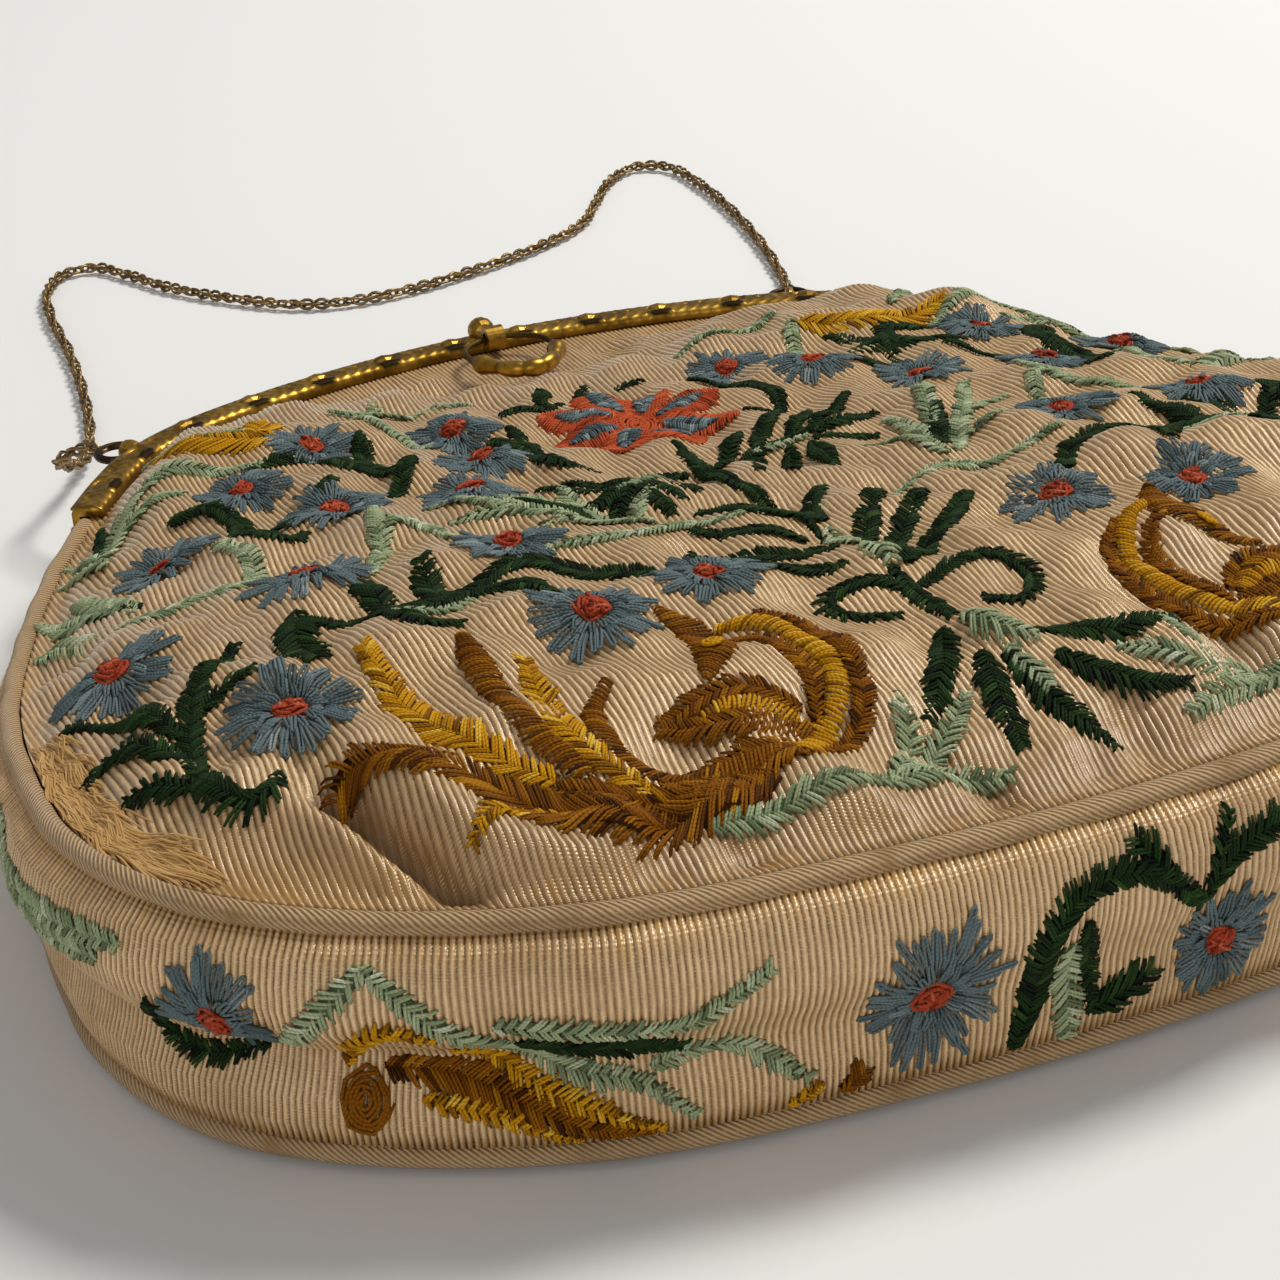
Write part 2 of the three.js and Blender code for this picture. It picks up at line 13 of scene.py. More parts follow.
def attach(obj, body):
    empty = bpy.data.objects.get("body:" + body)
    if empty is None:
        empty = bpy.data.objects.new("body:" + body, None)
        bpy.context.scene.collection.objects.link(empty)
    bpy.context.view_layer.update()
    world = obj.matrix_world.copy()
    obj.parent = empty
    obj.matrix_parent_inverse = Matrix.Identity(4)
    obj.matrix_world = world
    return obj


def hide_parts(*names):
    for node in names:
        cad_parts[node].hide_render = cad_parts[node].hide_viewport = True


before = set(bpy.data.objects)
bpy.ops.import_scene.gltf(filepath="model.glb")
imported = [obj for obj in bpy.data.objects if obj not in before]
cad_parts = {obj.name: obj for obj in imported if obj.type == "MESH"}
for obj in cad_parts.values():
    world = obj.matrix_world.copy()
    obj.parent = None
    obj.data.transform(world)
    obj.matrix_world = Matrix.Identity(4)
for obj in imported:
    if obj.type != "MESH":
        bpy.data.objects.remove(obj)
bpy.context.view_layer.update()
rng = np.random.default_rng(41)

MM = 0.001

# The bag's outline, half of it, and the heights of its two seams.
SEAM_HALF = [
    (79.5, 84.6), (89, 66), (98, 40), (105, 12), (107.5, -14), (106.5, -36),
    (99.5, -53.5), (86, -66.5), (60, -79), (28, -84), (0, -85.5),
]
FRAME_HALF = [(0, 121.5), (22, 119.8), (43, 115), (58, 109), (67.5, 102), (74, 93.5), (79.3, 85)]
FRONT_SEAM_Z = dict(bottom=32.0, frame=17.1, low_y=-60, high_y=80)
BACK_SEAM_Z = dict(bottom=2.4, frame=10.9, low_y=0, high_y=84)
DOME = dict(rise=12.5, reach=19, hem=3.9)
MIDDLE_SAG = dict(depth=3.4, width=34)
UNDER_CLASP = dict(more_hem=16, width=30, low_y=60, high_y=100)
ARM_PUFF = dict(more_rise=3.8, less_hem=0.7, less_reach=7.5, x=72, width=20, low_y=45, high_y=75)
BACK_FLAT_FROM = dict(bottom=14, frame=52)
# Folds of the cloth: x0, y0, x1, y1, width, rise.
FOLDS = [
    (-88, -50, -52, -72, 7, 1.8), (-70, -40, -40, -62, 6, -1.3), (38, -18, 78, -46, 7, 1.6),
    (52, -10, 92, -30, 7, -1.4), (-10, 108, -34, 62, 8, -1.2), (24, 102, 46, 64, 8, 1.2),
    (-92, 0, -70, 30, 8, 1.3), (4, -40, 12, -78, 7, 1),
]
# Short folds that run into the seam, in the same columns.
SEAM_FOLDS = [
    (-86, -48.5, -76.5, -68.5, 2.2, 1.5), (-82.5, -50, -74, -69.5, 1.5, -2.6),
    (-79, -53, -71, -72, 1.7, -3.3), (-73.5, -56, -65, -73.5, 4.4, 2.8), (-62, -69, -49, -77.5, 3.4, 1.5),
    (-53, -66, -43, -78, 2.4, -1.4), (-34, -70, -26, -79.5, 3.0, 1.1), (-22, -70, -16, -80, 2.6, -1.0),
    (8, -70, 16, -79, 3.0, 1.2), (20, -64, 28, -79, 2.6, -1.2), (44, -58, 56, -75, 3.2, 1.3),
    (-66, -68, -54, -79, 3.0, 1.3), (-60, -70, -49, -79, 2.4, -1.5), (-22, -72, -17, -81, 2.2, 1.3),
    (-18, -72, -13, -80, 2.2, -1.3), (-5, -72, -5, -82, 2.2, 1.2), (-1, -73, -1, -82, 2.4, -1.2),
    (60, -52, 74, -69, 3.0, -1.2), (-96, -14, -80, 2, 4.0, -1.1), (-99, -26, -86, -14, 4.0, 1.1),
]
WALL = 1.4
SEAM_INSET = 1.5
FRAME_TUCK = 0.9
GUSSET_INSET = dict(front=0.4, back=1.7)
GUSSET_BULGE = 4.95
GUSSET_SKEW = 0.58
GUSSET_FULL_DEPTH = 29.6
UNDER_CORD = 1.3
CREASE = dict(small=1.5, deep=9, x=-84, y=-66, width=46, down=0.66, spread=0.18)
CORD_RADIUS = 1.4

# Cloth detail.
RIB_PITCH = 0.8
RIB_HEIGHT = 0.3
RIB_PROFILE = np.array([0.0, 0.8, 1.0, 0.8])
FRONT_ROWS = 64
ROWS_TO_SEAM = 1.2
PLAN_MARGIN = 0.05
# Sideways waves of the front's ribs: shift, run along y, run along x.
DRIFT = [(1.1, 15, 40), (0.45, 6.5, 17)]
BARE = dict(x=-87, y=-59, radius=20)
# Painted shade on the front: darker towards the lower seam, and in the hollows of the seam folds.
LOW_SHADE = dict(share=0.42, outer=22, full=5, high_y=-38, low_y=-60)
FOLD_SHADE = dict(share=0.75, shallow=0.3, deep=2.6, most=0.9)
BACK_ROWS = 9
GUSSET_ROWS = 12
# Puckers: wavelength, angle, height, phase.
PUCKERS = [
    (17, 0.15, 0.55, 0.3), (11, 0.55, 0.36, 1.9), (13, -0.5, 0.42, 4.0),
    (8.5, 0.95, 0.2, 0.8), (9.5, -1.1, 0.22, 2.6), (24, 1.35, 0.65, 5.1),
]
GATHER = dict(height=0.85, spacing=2.6, drift=9.0, radius=95, outer=2.0, full=6.0, inner=24.0, top=78.0)


def srgb(red, green, blue):
    """Linear colour of an 8-bit sRGB one."""
    c = np.array([red, green, blue]) / 255.0
    low = c / 12.92
    high = ((c + 0.055) / 1.055) ** 2.4
    return (*np.where(c <= 0.04045, low, high), 1.0)


def smoothstep(value, start, end):
    """Smooth ramp from 0 at start to 1 at end."""
    t = np.clip((np.asarray(value, float) - start) / (end - start), 0, 1)
    return t * t * (3 - 2 * t)


def unit(vectors):
    """Vectors scaled to length 1."""
    return vectors / np.linalg.norm(vectors, axis=-1, keepdims=True)


def running_length(points):
    """Length along a polyline up to each of its points."""
    return np.concatenate([[0], np.cumsum(np.linalg.norm(np.diff(points, axis=0), axis=1))])


def spline(points, count):
    """Centripetal Catmull-Rom curve through the points, resampled at even arc length."""
    p = np.asarray(points, float)
    p = np.vstack([2 * p[0] - p[1], p, 2 * p[-1] - p[-2]])
    knot = np.sqrt(np.linalg.norm(np.diff(p, axis=0), axis=1))
    p0, p1, p2, p3 = (p[k : len(p) - 3 + k, None, :] for k in range(4))
    d0, d1, d2 = (knot[k : len(knot) - 2 + k, None, None] for k in range(3))
    m1 = ((p1 - p0) / d0 - (p2 - p0) / (d0 + d1) + (p2 - p1) / d1) * d1
    m2 = ((p2 - p1) / d1 - (p3 - p1) / (d1 + d2) + (p3 - p2) / d2) * d1
    t = np.linspace(0, 1, 40, endpoint=False)[None, :, None]
    c2 = -3 * p1 + 3 * p2 - 2 * m1 - m2
    c3 = 2 * p1 - 2 * p2 + m1 + m2
    fine = (p1 + m1 * t + c2 * t**2 + c3 * t**3).reshape(-1, p.shape[1])
    fine = np.vstack([fine, p[-2]])
    arc = running_length(fine)
    even = np.linspace(0, arc[-1], count)
    return np.column_stack([np.interp(even, arc, fine[:, k]) for k in range(p.shape[1])])


def length_of(points):
    """Arc length of a polyline."""
    return np.linalg.norm(np.diff(points, axis=0), axis=1).sum()


def mirrored(half):
    """A half outline that ends on the middle line, continued by its mirror image, left end first."""
    left = [(-x, y) for x, y in half]
    return left + [(x, y) for x, y in half[-2::-1]]


def across_plan(line, turn):
    """Unit normals in plan of a polyline: its tangent turned clockwise (turn 1) or the other way (-1)."""
    t = unit(np.gradient(line, axis=0))
    return turn * np.column_stack([t[:, 1], -t[:, 0]])


SEAM = spline(mirrored(SEAM_HALF), 1000)
FRAME_LINE = spline(mirrored(FRAME_HALF[::-1]), 420)
OUTLINE = np.vstack([SEAM, FRAME_LINE])
SEAM_LENGTH = length_of(SEAM)


def seam_height(y, seam):
    """Height of a seam: a smooth ramp along Y between its bottom and frame heights."""
    return seam["bottom"] + (seam["frame"] - seam["bottom"]) * smoothstep(y, seam["low_y"], seam["high_y"])


DISTANCE_BLOCK = 4000


def outline_distance(x, y):
    """Distance in plan from each point to the nearest point of the outline, worked out in blocks."""
    flat = np.column_stack([np.ravel(x), np.ravel(y)]).astype(np.float32)
    edge = OUTLINE.astype(np.float32)
    out = np.empty(len(flat), np.float32)
    for start in range(0, len(flat), DISTANCE_BLOCK):
        block = flat[start : start + DISTANCE_BLOCK]
        gap = (block[:, None, 0] - edge[None, :, 0]) ** 2 + (block[:, None, 1] - edge[None, :, 1]) ** 2
        out[start : start + DISTANCE_BLOCK] = np.sqrt(gap.min(axis=1))
    return out.reshape(np.shape(x)).astype(float)


def fold_rise(x, y, folds):
    """Soft ridges: each fold's rise falls off as a bell with the distance from its line."""
    total = np.zeros_like(x)
    for x0, y0, x1, y1, width, rise in folds:
        run_x, run_y = x1 - x0, y1 - y0
        along = np.clip(((x - x0) * run_x + (y - y0) * run_y) / (run_x**2 + run_y**2), 0, 1)
        gap = np.hypot(x - x0 - along * run_x, y - y0 - along * run_y)
        total += rise * np.exp(-((gap / width) ** 2))
    return total


def puckers(x, y):
    """Slack of old cloth: a sum of plane waves, bent by one slow wave so that no crease runs straight."""
    bend = 2.2 * np.sin(x / 21 + 1.3 * np.sin(y / 27)) + 1.6 * np.sin(y / 19 + 0.8)
    total = np.zeros_like(x)
    for wavelength, angle, height, phase in PUCKERS:
        along = x * math.cos(angle) + y * math.sin(angle) + bend
        total += height * np.sin(2 * math.pi * along / wavelength + phase)
    return total


def seam_gathers(x, y, edge):
    """Short ridges where the cloth is gathered into the seam: a wave along the seam, bent by a slower one,
    that dies out inwards."""
    run = np.arctan2(x, -y) * GATHER["radius"]
    wave = np.sin(run / GATHER["spacing"] + 2.0 * np.sin(run / GATHER["drift"]) + y / 17)
    near = smoothstep(edge, GATHER["outer"], GATHER["full"])
    near = near * smoothstep(edge, GATHER["inner"], GATHER["full"])
    return GATHER["height"] * wave * near * smoothstep(y, GATHER["top"], GATHER["top"] - 30)


def front_middle(x, y):
    """Middle of the front wall: seam height, plus a dome that swells from the hem inwards, sags along the
    middle line, stays flat under the clasp, puffs up at the frame's arms, and carries folds and puckers.
    The puckers stop at the edges and under the clasp pull."""
    edge = outline_distance(x, y)
    clasp = np.exp(-((x / UNDER_CLASP["width"]) ** 2))
    clasp = clasp * smoothstep(y, UNDER_CLASP["low_y"], UNDER_CLASP["high_y"])
    from_arm = (np.abs(x) - ARM_PUFF["x"]) / ARM_PUFF["width"]
    arm = np.exp(-(from_arm**2)) * smoothstep(y, ARM_PUFF["low_y"], ARM_PUFF["high_y"])
    hem = DOME["hem"] + UNDER_CLASP["more_hem"] * clasp - ARM_PUFF["less_hem"] * arm
    swell = 1 - np.exp(-np.maximum(0, edge - hem) / (DOME["reach"] - ARM_PUFF["less_reach"] * arm))
    rise = DOME["rise"] + ARM_PUFF["more_rise"] * arm
    sag = MIDDLE_SAG["depth"] * np.exp(-((x / MIDDLE_SAG["width"]) ** 2))
    under_pull = smoothstep(np.abs(x), 16, 9) * smoothstep(y, 88, 97)
    slack = puckers(x, y) * smoothstep(edge, 3, 13) * (1 - under_pull) + seam_gathers(x, y, edge)
    slack = slack + fold_rise(x, y, SEAM_FOLDS) * smoothstep(edge, 1.5, 6)
    height = seam_height(y, FRONT_SEAM_Z) + (rise - sag + fold_rise(x, y, FOLDS)) * swell
    return height + slack, edge


FIELD_STEP = 0.5
FIELD_X = np.arange(-112, 112.01, FIELD_STEP)
FIELD_Y = np.arange(-92, 126.01, FIELD_STEP)
FRONT_FIELD, EDGE_FIELD = front_middle(*np.meshgrid(FIELD_X, FIELD_Y, indexing="ij"))


def from_field(field, x, y):
    """Bilinear reading of a field of heights worked out once on a fine grid."""
    i = np.clip((x - FIELD_X[0]) / FIELD_STEP, 0, len(FIELD_X) - 1.001)
    j = np.clip((y - FIELD_Y[0]) / FIELD_STEP, 0, len(FIELD_Y) - 1.001)
    i0, j0 = i.astype(int), j.astype(int)
    fi, fj = i - i0, j - j0
    low = field[i0, j0] * (1 - fi) + field[i0 + 1, j0] * fi
    high = field[i0, j0 + 1] * (1 - fi) + field[i0 + 1, j0 + 1] * fi
    return low * (1 - fj) + high * fj


def on_front(plan):
    """Points on the outer face of the front panel above plan positions (x, y)."""
    x, y = plan[..., 0], plan[..., 1]
    return np.stack([x, y, from_field(FRONT_FIELD, x, y) + WALL / 2], axis=-1)


def gusset_middle(u, down):
    """Middle of the gusset wall at arc length u from the bottom's middle and share down of its depth: the
    seam's plan, bulged outwards as a half sine that peaks above the middle, and tucked in along a crease that
    deepens at the left corner. Gives the points and the wall's depth."""
    s = (u / SEAM_LENGTH + 0.5) * (len(SEAM) - 1)
    steps = np.arange(len(SEAM))
    outward = across_plan(SEAM, 1)
    x, y = np.interp(s, steps, SEAM[:, 0]), np.interp(s, steps, SEAM[:, 1])
    ox, oy = np.interp(s, steps, outward[:, 0]), np.interp(s, steps, outward[:, 1])
    high = seam_height(y, FRONT_SEAM_Z) - GUSSET_INSET["front"]
    low = seam_height(y, BACK_SEAM_Z) + GUSSET_INSET["back"]
    depth = (high - low) / GUSSET_FULL_DEPTH
    near = np.exp(-((np.hypot(x - CREASE["x"], y - CREASE["y"]) / CREASE["width"]) ** 2))
    crease = CREASE["small"] + CREASE["deep"] * near
    tuck = crease * np.exp(-(((down - CREASE["down"]) / CREASE["spread"]) ** 2))
    slack = 0.45 * np.sin(u / 3.1 + 2 * np.sin(u / 13) + 3 * down) + 0.3 * np.sin(u / 5.3 + 1 - 4 * down)
    offset = depth * np.sin(math.pi * down**GUSSET_SKEW) * (GUSSET_BULGE - tuck + slack)
    return np.stack([x + ox * offset, y + oy * offset, high + (low - high) * down], axis=-1), high - low


def gusset_wall(u, down):
    """Middle points, outward unit normals and depth of the gusset wall. The normals come from small steps
    along both parameters."""
    middle, depth = gusset_middle(u, down)
    ahead = gusset_middle(u + 0.2, down)[0] - middle
    above, below = (gusset_middle(u, np.clip(down + step, 0, 1))[0] for step in (-0.01, 0.01))
    return middle, unit(np.cross(below - above, ahead)), depth


def on_gusset(plan):
    """Points on the outer face of the gusset at (arc length from the bottom's middle, mm below the cord)."""
    u, v = plan[..., 0], plan[..., 1] + UNDER_CORD
    depth = gusset_middle(u, np.zeros_like(u))[1]
    middle, normal, _ = gusset_wall(u, np.clip(v / depth, 0.0, 1.0))
    return middle + normal * WALL / 2


def face_normals(surface, plan):
    """Points and unit normals of a surface over plan positions, from small steps along both parameters. On
    the gusset the positions are kept off its two edges."""
    step = 0.25
    if surface is on_gusset:
        depth = gusset_middle(plan[..., 0], np.zeros_like(plan[..., 0]))[1]
        plan = np.stack([plan[..., 0], np.clip(plan[..., 1], 0.0, depth - UNDER_CORD - 0.6)], axis=-1)
    here = surface(plan)
    along_u = surface(plan + np.array([step, 0.0])) - here
    along_v = surface(plan + np.array([0.0, step])) - here
    normal = np.cross(along_u, along_v)
    if surface is on_gusset:
        normal = -normal
    return here, unit(normal)


def add_object(name, data):
    """A new object of the scene, at the origin."""
    made = bpy.data.objects.new(name, data)
    bpy.context.scene.collection.objects.link(made)
    return made


def make_piece(name, points, quads, tris, material, attributes, body="bag", replaces=()):
    """A mesh piece from whole arrays of points (mm), quads and triangles, with float attributes on its
    points."""
    mesh = bpy.data.meshes.new(name)
    quads = np.asarray(quads, np.int32).reshape(-1, 4)
    tris = np.asarray(tris, np.int32).reshape(-1, 3)
    mesh.vertices.add(len(points))
    mesh.vertices.foreach_set("co", (np.asarray(points) * MM).astype(np.float32).ravel())
    corners = np.concatenate([quads.ravel(), tris.ravel()])
    mesh.loops.add(len(corners))
    mesh.loops.foreach_set("vertex_index", corners)
    starts = np.concatenate([np.arange(len(quads)) * 4, quads.size + np.arange(len(tris)) * 3])
    mesh.polygons.add(len(starts))
    mesh.polygons.foreach_set("loop_start", starts.astype(np.int32))
    mesh.polygons.foreach_set("use_smooth", np.ones(len(starts), bool))
    mesh.update(calc_edges=True)
    mesh.validate()
    for key, values in attributes.items():
        layer = mesh.attributes.new(key, "FLOAT", "POINT")
        layer.data.foreach_set("value", np.ravel(values).astype(np.float32))
    mesh.materials.append(material)
    piece = add_object(name, mesh)
    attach(piece, body)
    if replaces:
        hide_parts(*replaces)
    return piece


# Materials.


def set_inputs(tree, made, inputs):
    """Inputs of a node: a socket is linked, any other value is set."""
    for key, value in dict(inputs).items():
        if isinstance(value, bpy.types.NodeSocket):
            tree.links.new(value, made.inputs[key])
        else:
            made.inputs[key].default_value = value


def put(tree, kind, inputs=(), **settings):
    """A node with its settings and inputs."""
    made = tree.nodes.new(kind)
    for key, value in settings.items():
        setattr(made, key, value)
    set_inputs(tree, made, inputs)
    return made


def maths(tree, operation, a, b=0.0, c=0.0, clamp=False):
    """Value of a Math node."""
    return put(tree, "ShaderNodeMath", {0: a, 1: b, 2: c}, operation=operation, use_clamp=clamp).outputs[0]


def ramp(tree, value, start, end):
    """Smooth 0 to 1 ramp of a value between start and end."""
    inputs = {0: value, 1: start, 2: end, 3: 0.0, 4: 1.0}
    return put(tree, "ShaderNodeMapRange", inputs, interpolation_type="SMOOTHSTEP").outputs[0]


def blend_colour(tree, share, first, second):
    """Colour mixed from first to second by share."""
    return put(tree, "ShaderNodeMix", {0: share, 6: first, 7: second}, data_type="RGBA").outputs[2]


def layered(tree, colour, layers):
    """A colour with layers laid over it in turn, each a mask, its strength and an 8-bit colour."""
    for mask, strength, over in layers:
        colour = blend_colour(tree, maths(tree, "MULTIPLY", mask, strength), colour, srgb(*over))
    return colour


def noise(tree, vector, scale, detail, roughness):
    """Value of a noise texture."""
    inputs = {"Vector": vector, "Scale": scale, "Detail": detail, "Roughness": roughness}
    return put(tree, "ShaderNodeTexNoise", inputs).outputs[0]


def attribute(tree, name):
    """A float attribute of the mesh."""
    return put(tree, "ShaderNodeAttribute", attribute_name=name).outputs["Fac"]


def object_place(tree):
    """Object coordinates."""
    return put(tree, "ShaderNodeTexCoord").outputs["Object"]


def scaled(tree, vector, scale):
    """A vector stretched along its axes."""
    return put(tree, "ShaderNodeMapping", {"Vector": vector, "Scale": scale}).outputs[0]


def group(name, inputs, outputs):
    """An empty shader node group with named sockets: the group, its input node and its output node."""
    tree = bpy.data.node_groups.new(name, "ShaderNodeTree")
    for label, kind in inputs:
        tree.interface.new_socket(label, in_out="INPUT", socket_type=kind)
    for label, kind in outputs:
        tree.interface.new_socket(label, in_out="OUTPUT", socket_type=kind)
    return tree, tree.nodes.new("NodeGroupInput"), tree.nodes.new("NodeGroupOutput")


def place_group(tree, made, inputs):
    """A group node inside a material, with its values."""
    return put(tree, "ShaderNodeGroup", inputs, node_tree=made)


FLOAT, COLOUR = "NodeSocketFloat", "NodeSocketColor"


def build_twist_group():
    """Plies of a twisted thread: ridges that climb round the thread, as a height from 0 to 1."""
    tree, given, out = group(
        "thread_twist", [("Along", FLOAT), ("Around", FLOAT), ("Pitch", FLOAT)], [("Height", FLOAT)]
    )
    turns = maths(tree, "DIVIDE", given.outputs["Along"], given.outputs["Pitch"])
    phase = maths(tree, "ADD", turns, given.outputs["Around"])
    wave = maths(tree, "SINE", maths(tree, "MULTIPLY", phase, 2 * math.pi))
    tree.links.new(maths(tree, "MULTIPLY_ADD", wave, 0.5, 0.5), out.inputs["Height"])
    return tree


def build_soil_group():
    """Old dust, and on the silk painted satin shade too: a colour greyed and darkened in cloudy patches of
    two sizes, and their mask.
    """
    sockets_in = [("Color", COLOUR), ("DustShade", COLOUR), ("Amount", FLOAT)]
    tree, given, out = group("old_soil", sockets_in, [("Color", COLOUR), ("Mask", FLOAT)])
    place = object_place(tree)
    large = ramp(tree, noise(tree, place, 42.0, 4.0, 0.6), 0.48, 0.72)
    small = ramp(tree, noise(tree, place, 260.0, 3.0, 0.6), 0.5, 0.75)
    mask = maths(tree, "MULTIPLY_ADD", small, 0.4, maths(tree, "MULTIPLY", large, 0.6))
    share = maths(tree, "MULTIPLY", mask, given.outputs["Amount"], clamp=True)
    soiled = blend_colour(tree, share, given.outputs["Color"], given.outputs["DustShade"])
    set_inputs(tree, out, {"Color": soiled, "Mask": mask})
    return tree


TWIST = build_twist_group()
DUST_AND_SHADE = build_soil_group()


def new_material(name):
    """A material with a lone Principled shader; gives the material, its tree and the shader."""
    made = bpy.data.materials.new(name)
    made.use_nodes = True
    tree = made.node_tree
    return made, tree, tree.nodes["Principled BSDF"]


def bump(tree, height, distance, strength):
    """Normal of a Bump node over a height."""
    inputs = {"Height": height, "Distance": distance, "Strength": strength}
    return put(tree, "ShaderNodeBump", inputs).outputs[0]


def ribbed_silk(name, worn_width, groove_shade):
    """Ribbed silk: painted highlight on the crests and painted shade in the tan grooves, fine weft along each
    rib, short painted glints, golden bared ribs in streaks near the seams, painted shade in the folds and
    towards the lower seam, and clouds of old dust that also paint satin shade."""
    made, tree, shader = new_material(name)
    rib, edge, along, across = (attribute(tree, key) for key in ("rib", "edge", "along", "across"))
    cell = put(tree, "ShaderNodeCombineXYZ", {0: across, 1: along, 2: 0.0}).outputs[0]
    streak = noise(tree, scaled(tree, cell, (1.1, 0.11, 1)), 1.0, 3.0, 0.6)
    fibre = noise(tree, scaled(tree, cell, (3.5, 0.5, 1)), 1.0, 2.0, 0.5)
    glint = ramp(tree, noise(tree, scaled(tree, cell, (2.6, 5.5, 1)), 1.0, 1.0, 0.5), 0.52, 0.72)
    worn = maths(tree, "MULTIPLY_ADD", ramp(tree, edge, worn_width, 0.0), 0.3, streak)
    base = layered(tree, groove_shade, [
        # Painted shade in the grooves and painted highlight on the crests, following the ribs' profile.
        (ramp(tree, rib, 0.0, 0.75), 1.0, (184, 144, 92)),
        (ramp(tree, rib, 0.7, 1.0), 1.0, (236, 202, 156)),
        (ramp(tree, fibre, 0.35, 0.75), 0.55, (176, 138, 92)),
        # Painted glints: lighter specks along the ribs.
        (glint, 0.4, (238, 212, 170)),
        (attribute(tree, "bare"), 0.4, (214, 164, 84)),
        (ramp(tree, worn, 0.66, 0.9), 0.8, (204, 156, 84)),
        # Painted shade in the hollows of the seam folds and towards the lower seam.
        (attribute(tree, "soil"), 1.0, (116, 78, 32)),
    ])
    # Clouds of old dust, deepened to paint the satin shade of the silk.
    soiled = place_group(tree, DUST_AND_SHADE, {"Color": base, "DustShade": srgb(140, 104, 64), "Amount": 0.6})
    rough = maths(tree, "MULTIPLY_ADD", soiled.outputs["Mask"], 0.16, 0.27)
    weft = maths(tree, "SINE", maths(tree, "MULTIPLY", along, 2 * math.pi / 0.3))
    set_inputs(tree, shader, {
        "Base Color": soiled.outputs["Color"],
        "Roughness": maths(tree, "MULTIPLY_ADD", glint, -0.08, rough),
        "Normal": bump(tree, maths(tree, "MULTIPLY_ADD", weft, 0.25, fibre), 0.00009, 0.8),
        "Specular IOR Level": 1.0,
        "Specular Tint": srgb(255, 232, 190),
        "Coat Weight": 0.35,
        "Coat Roughness": 0.22,
    })
    return made


def twill_cloth():
    """Tan twill round the cord: diagonal ribs in the tube's own lengthwise and round-about millimetres."""
    made, tree, shader = new_material("tan_twill")
    along, around = attribute(tree, "along"), attribute(tree, "around")
    slant = maths(tree, "MULTIPLY_ADD", around, 1.25, along)
    phase = maths(tree, "MULTIPLY", slant, 2 * math.pi / 0.85)
    wale = maths(tree, "MULTIPLY_ADD", maths(tree, "SINE", phase), 0.5, 0.5)
    cell = put(tree, "ShaderNodeCombineXYZ", {0: along, 1: around, 2: 0.0}).outputs[0]
    fibre = noise(tree, cell, 2.2, 3.0, 0.6)
    patch = noise(tree, cell, 0.12, 3.0, 0.6)
    base = layered(tree, srgb(128, 98, 60), [
        (ramp(tree, wale, 0.0, 0.7), 1.0, (204, 168, 118)),
        (ramp(tree, fibre, 0.45, 0.85), 1.0, (200, 166, 118)),
        (ramp(tree, patch, 0.52, 0.75), 1.0, (160, 122, 70)),
    ])
    soiled = place_group(tree, DUST_AND_SHADE, {"Color": base, "DustShade": srgb(120, 92, 56), "Amount": 0.5})
    set_inputs(tree, shader, {
        "Base Color": soiled.outputs["Color"],
        "Roughness": maths(tree, "MULTIPLY_ADD", fibre, 0.2, 0.7),
        "Normal": bump(tree, maths(tree, "MULTIPLY_ADD", fibre, 0.25, wale), 0.00022, 1.0),
        "Sheen Weight": 0.15,
    })
    return made


def thread(name, deep, main, light, pitch=0.55, gloss=0.12, roughness=0.78):
    """Embroidery thread from three 8-bit colours: each stitch takes its own tone, plies twist along it and
    painted shade darkens the hollows between them."""
    made, tree, shader = new_material(name)
    tint, along, around = (attribute(tree, key) for key in ("tint", "along", "around"))
    plies = place_group(tree, TWIST, {"Along": along, "Around": around, "Pitch": pitch}).outputs[0]
    tone = layered(tree, srgb(*deep), [
        (ramp(tree, tint, 0.0, 0.55), 1.0, main),
        (ramp(tree, tint, 0.55, 1.0), 1.0, light),
        # Painted shade in the hollows between the plies.
        (maths(tree, "SUBTRACT", 1.0, plies), 0.32, deep),
    ])
    set_inputs(tree, shader, {
        "Base Color": tone,
        "Roughness": maths(tree, "MULTIPLY_ADD", plies, -0.12, roughness),
        "Normal": bump(tree, plies, 0.00008, 0.6),
        "Specular IOR Level": gloss,
    })
    return made


def worn_metal(name, bright, dull, dark, roughness, hollow=None):
    """Aged metal from three 8-bit colours: bright and dull patches, dark tarnish in spots, and painted shade
    in the hollows that an attribute marks."""
    made, tree, shader = new_material(name)
    place = object_place(tree)
    cloud = noise(tree, place, 180.0, 4.0, 0.65)
    fine = noise(tree, place, 900.0, 3.0, 0.6)
    tarnish_and_shade = maths(tree, "MULTIPLY", ramp(tree, fine, 0.58, 0.72), 0.55)
    if hollow is not None:
        # The marked hollows take the dark colour as painted shade.
        tarnish_and_shade = maths(tree, "MAXIMUM", tarnish_and_shade, attribute(tree, hollow))
    layers = [(ramp(tree, cloud, 0.35, 0.65), 1.0, dull), (tarnish_and_shade, 1.0, dark)]
    set_inputs(tree, shader, {
        "Base Color": layered(tree, srgb(*bright), layers),
        "Roughness": maths(tree, "MULTIPLY_ADD", tarnish_and_shade, 0.3, roughness),
        "Normal": bump(tree, fine, 0.00006, 0.5),
        "Metallic": 0.95,
    })
    return made


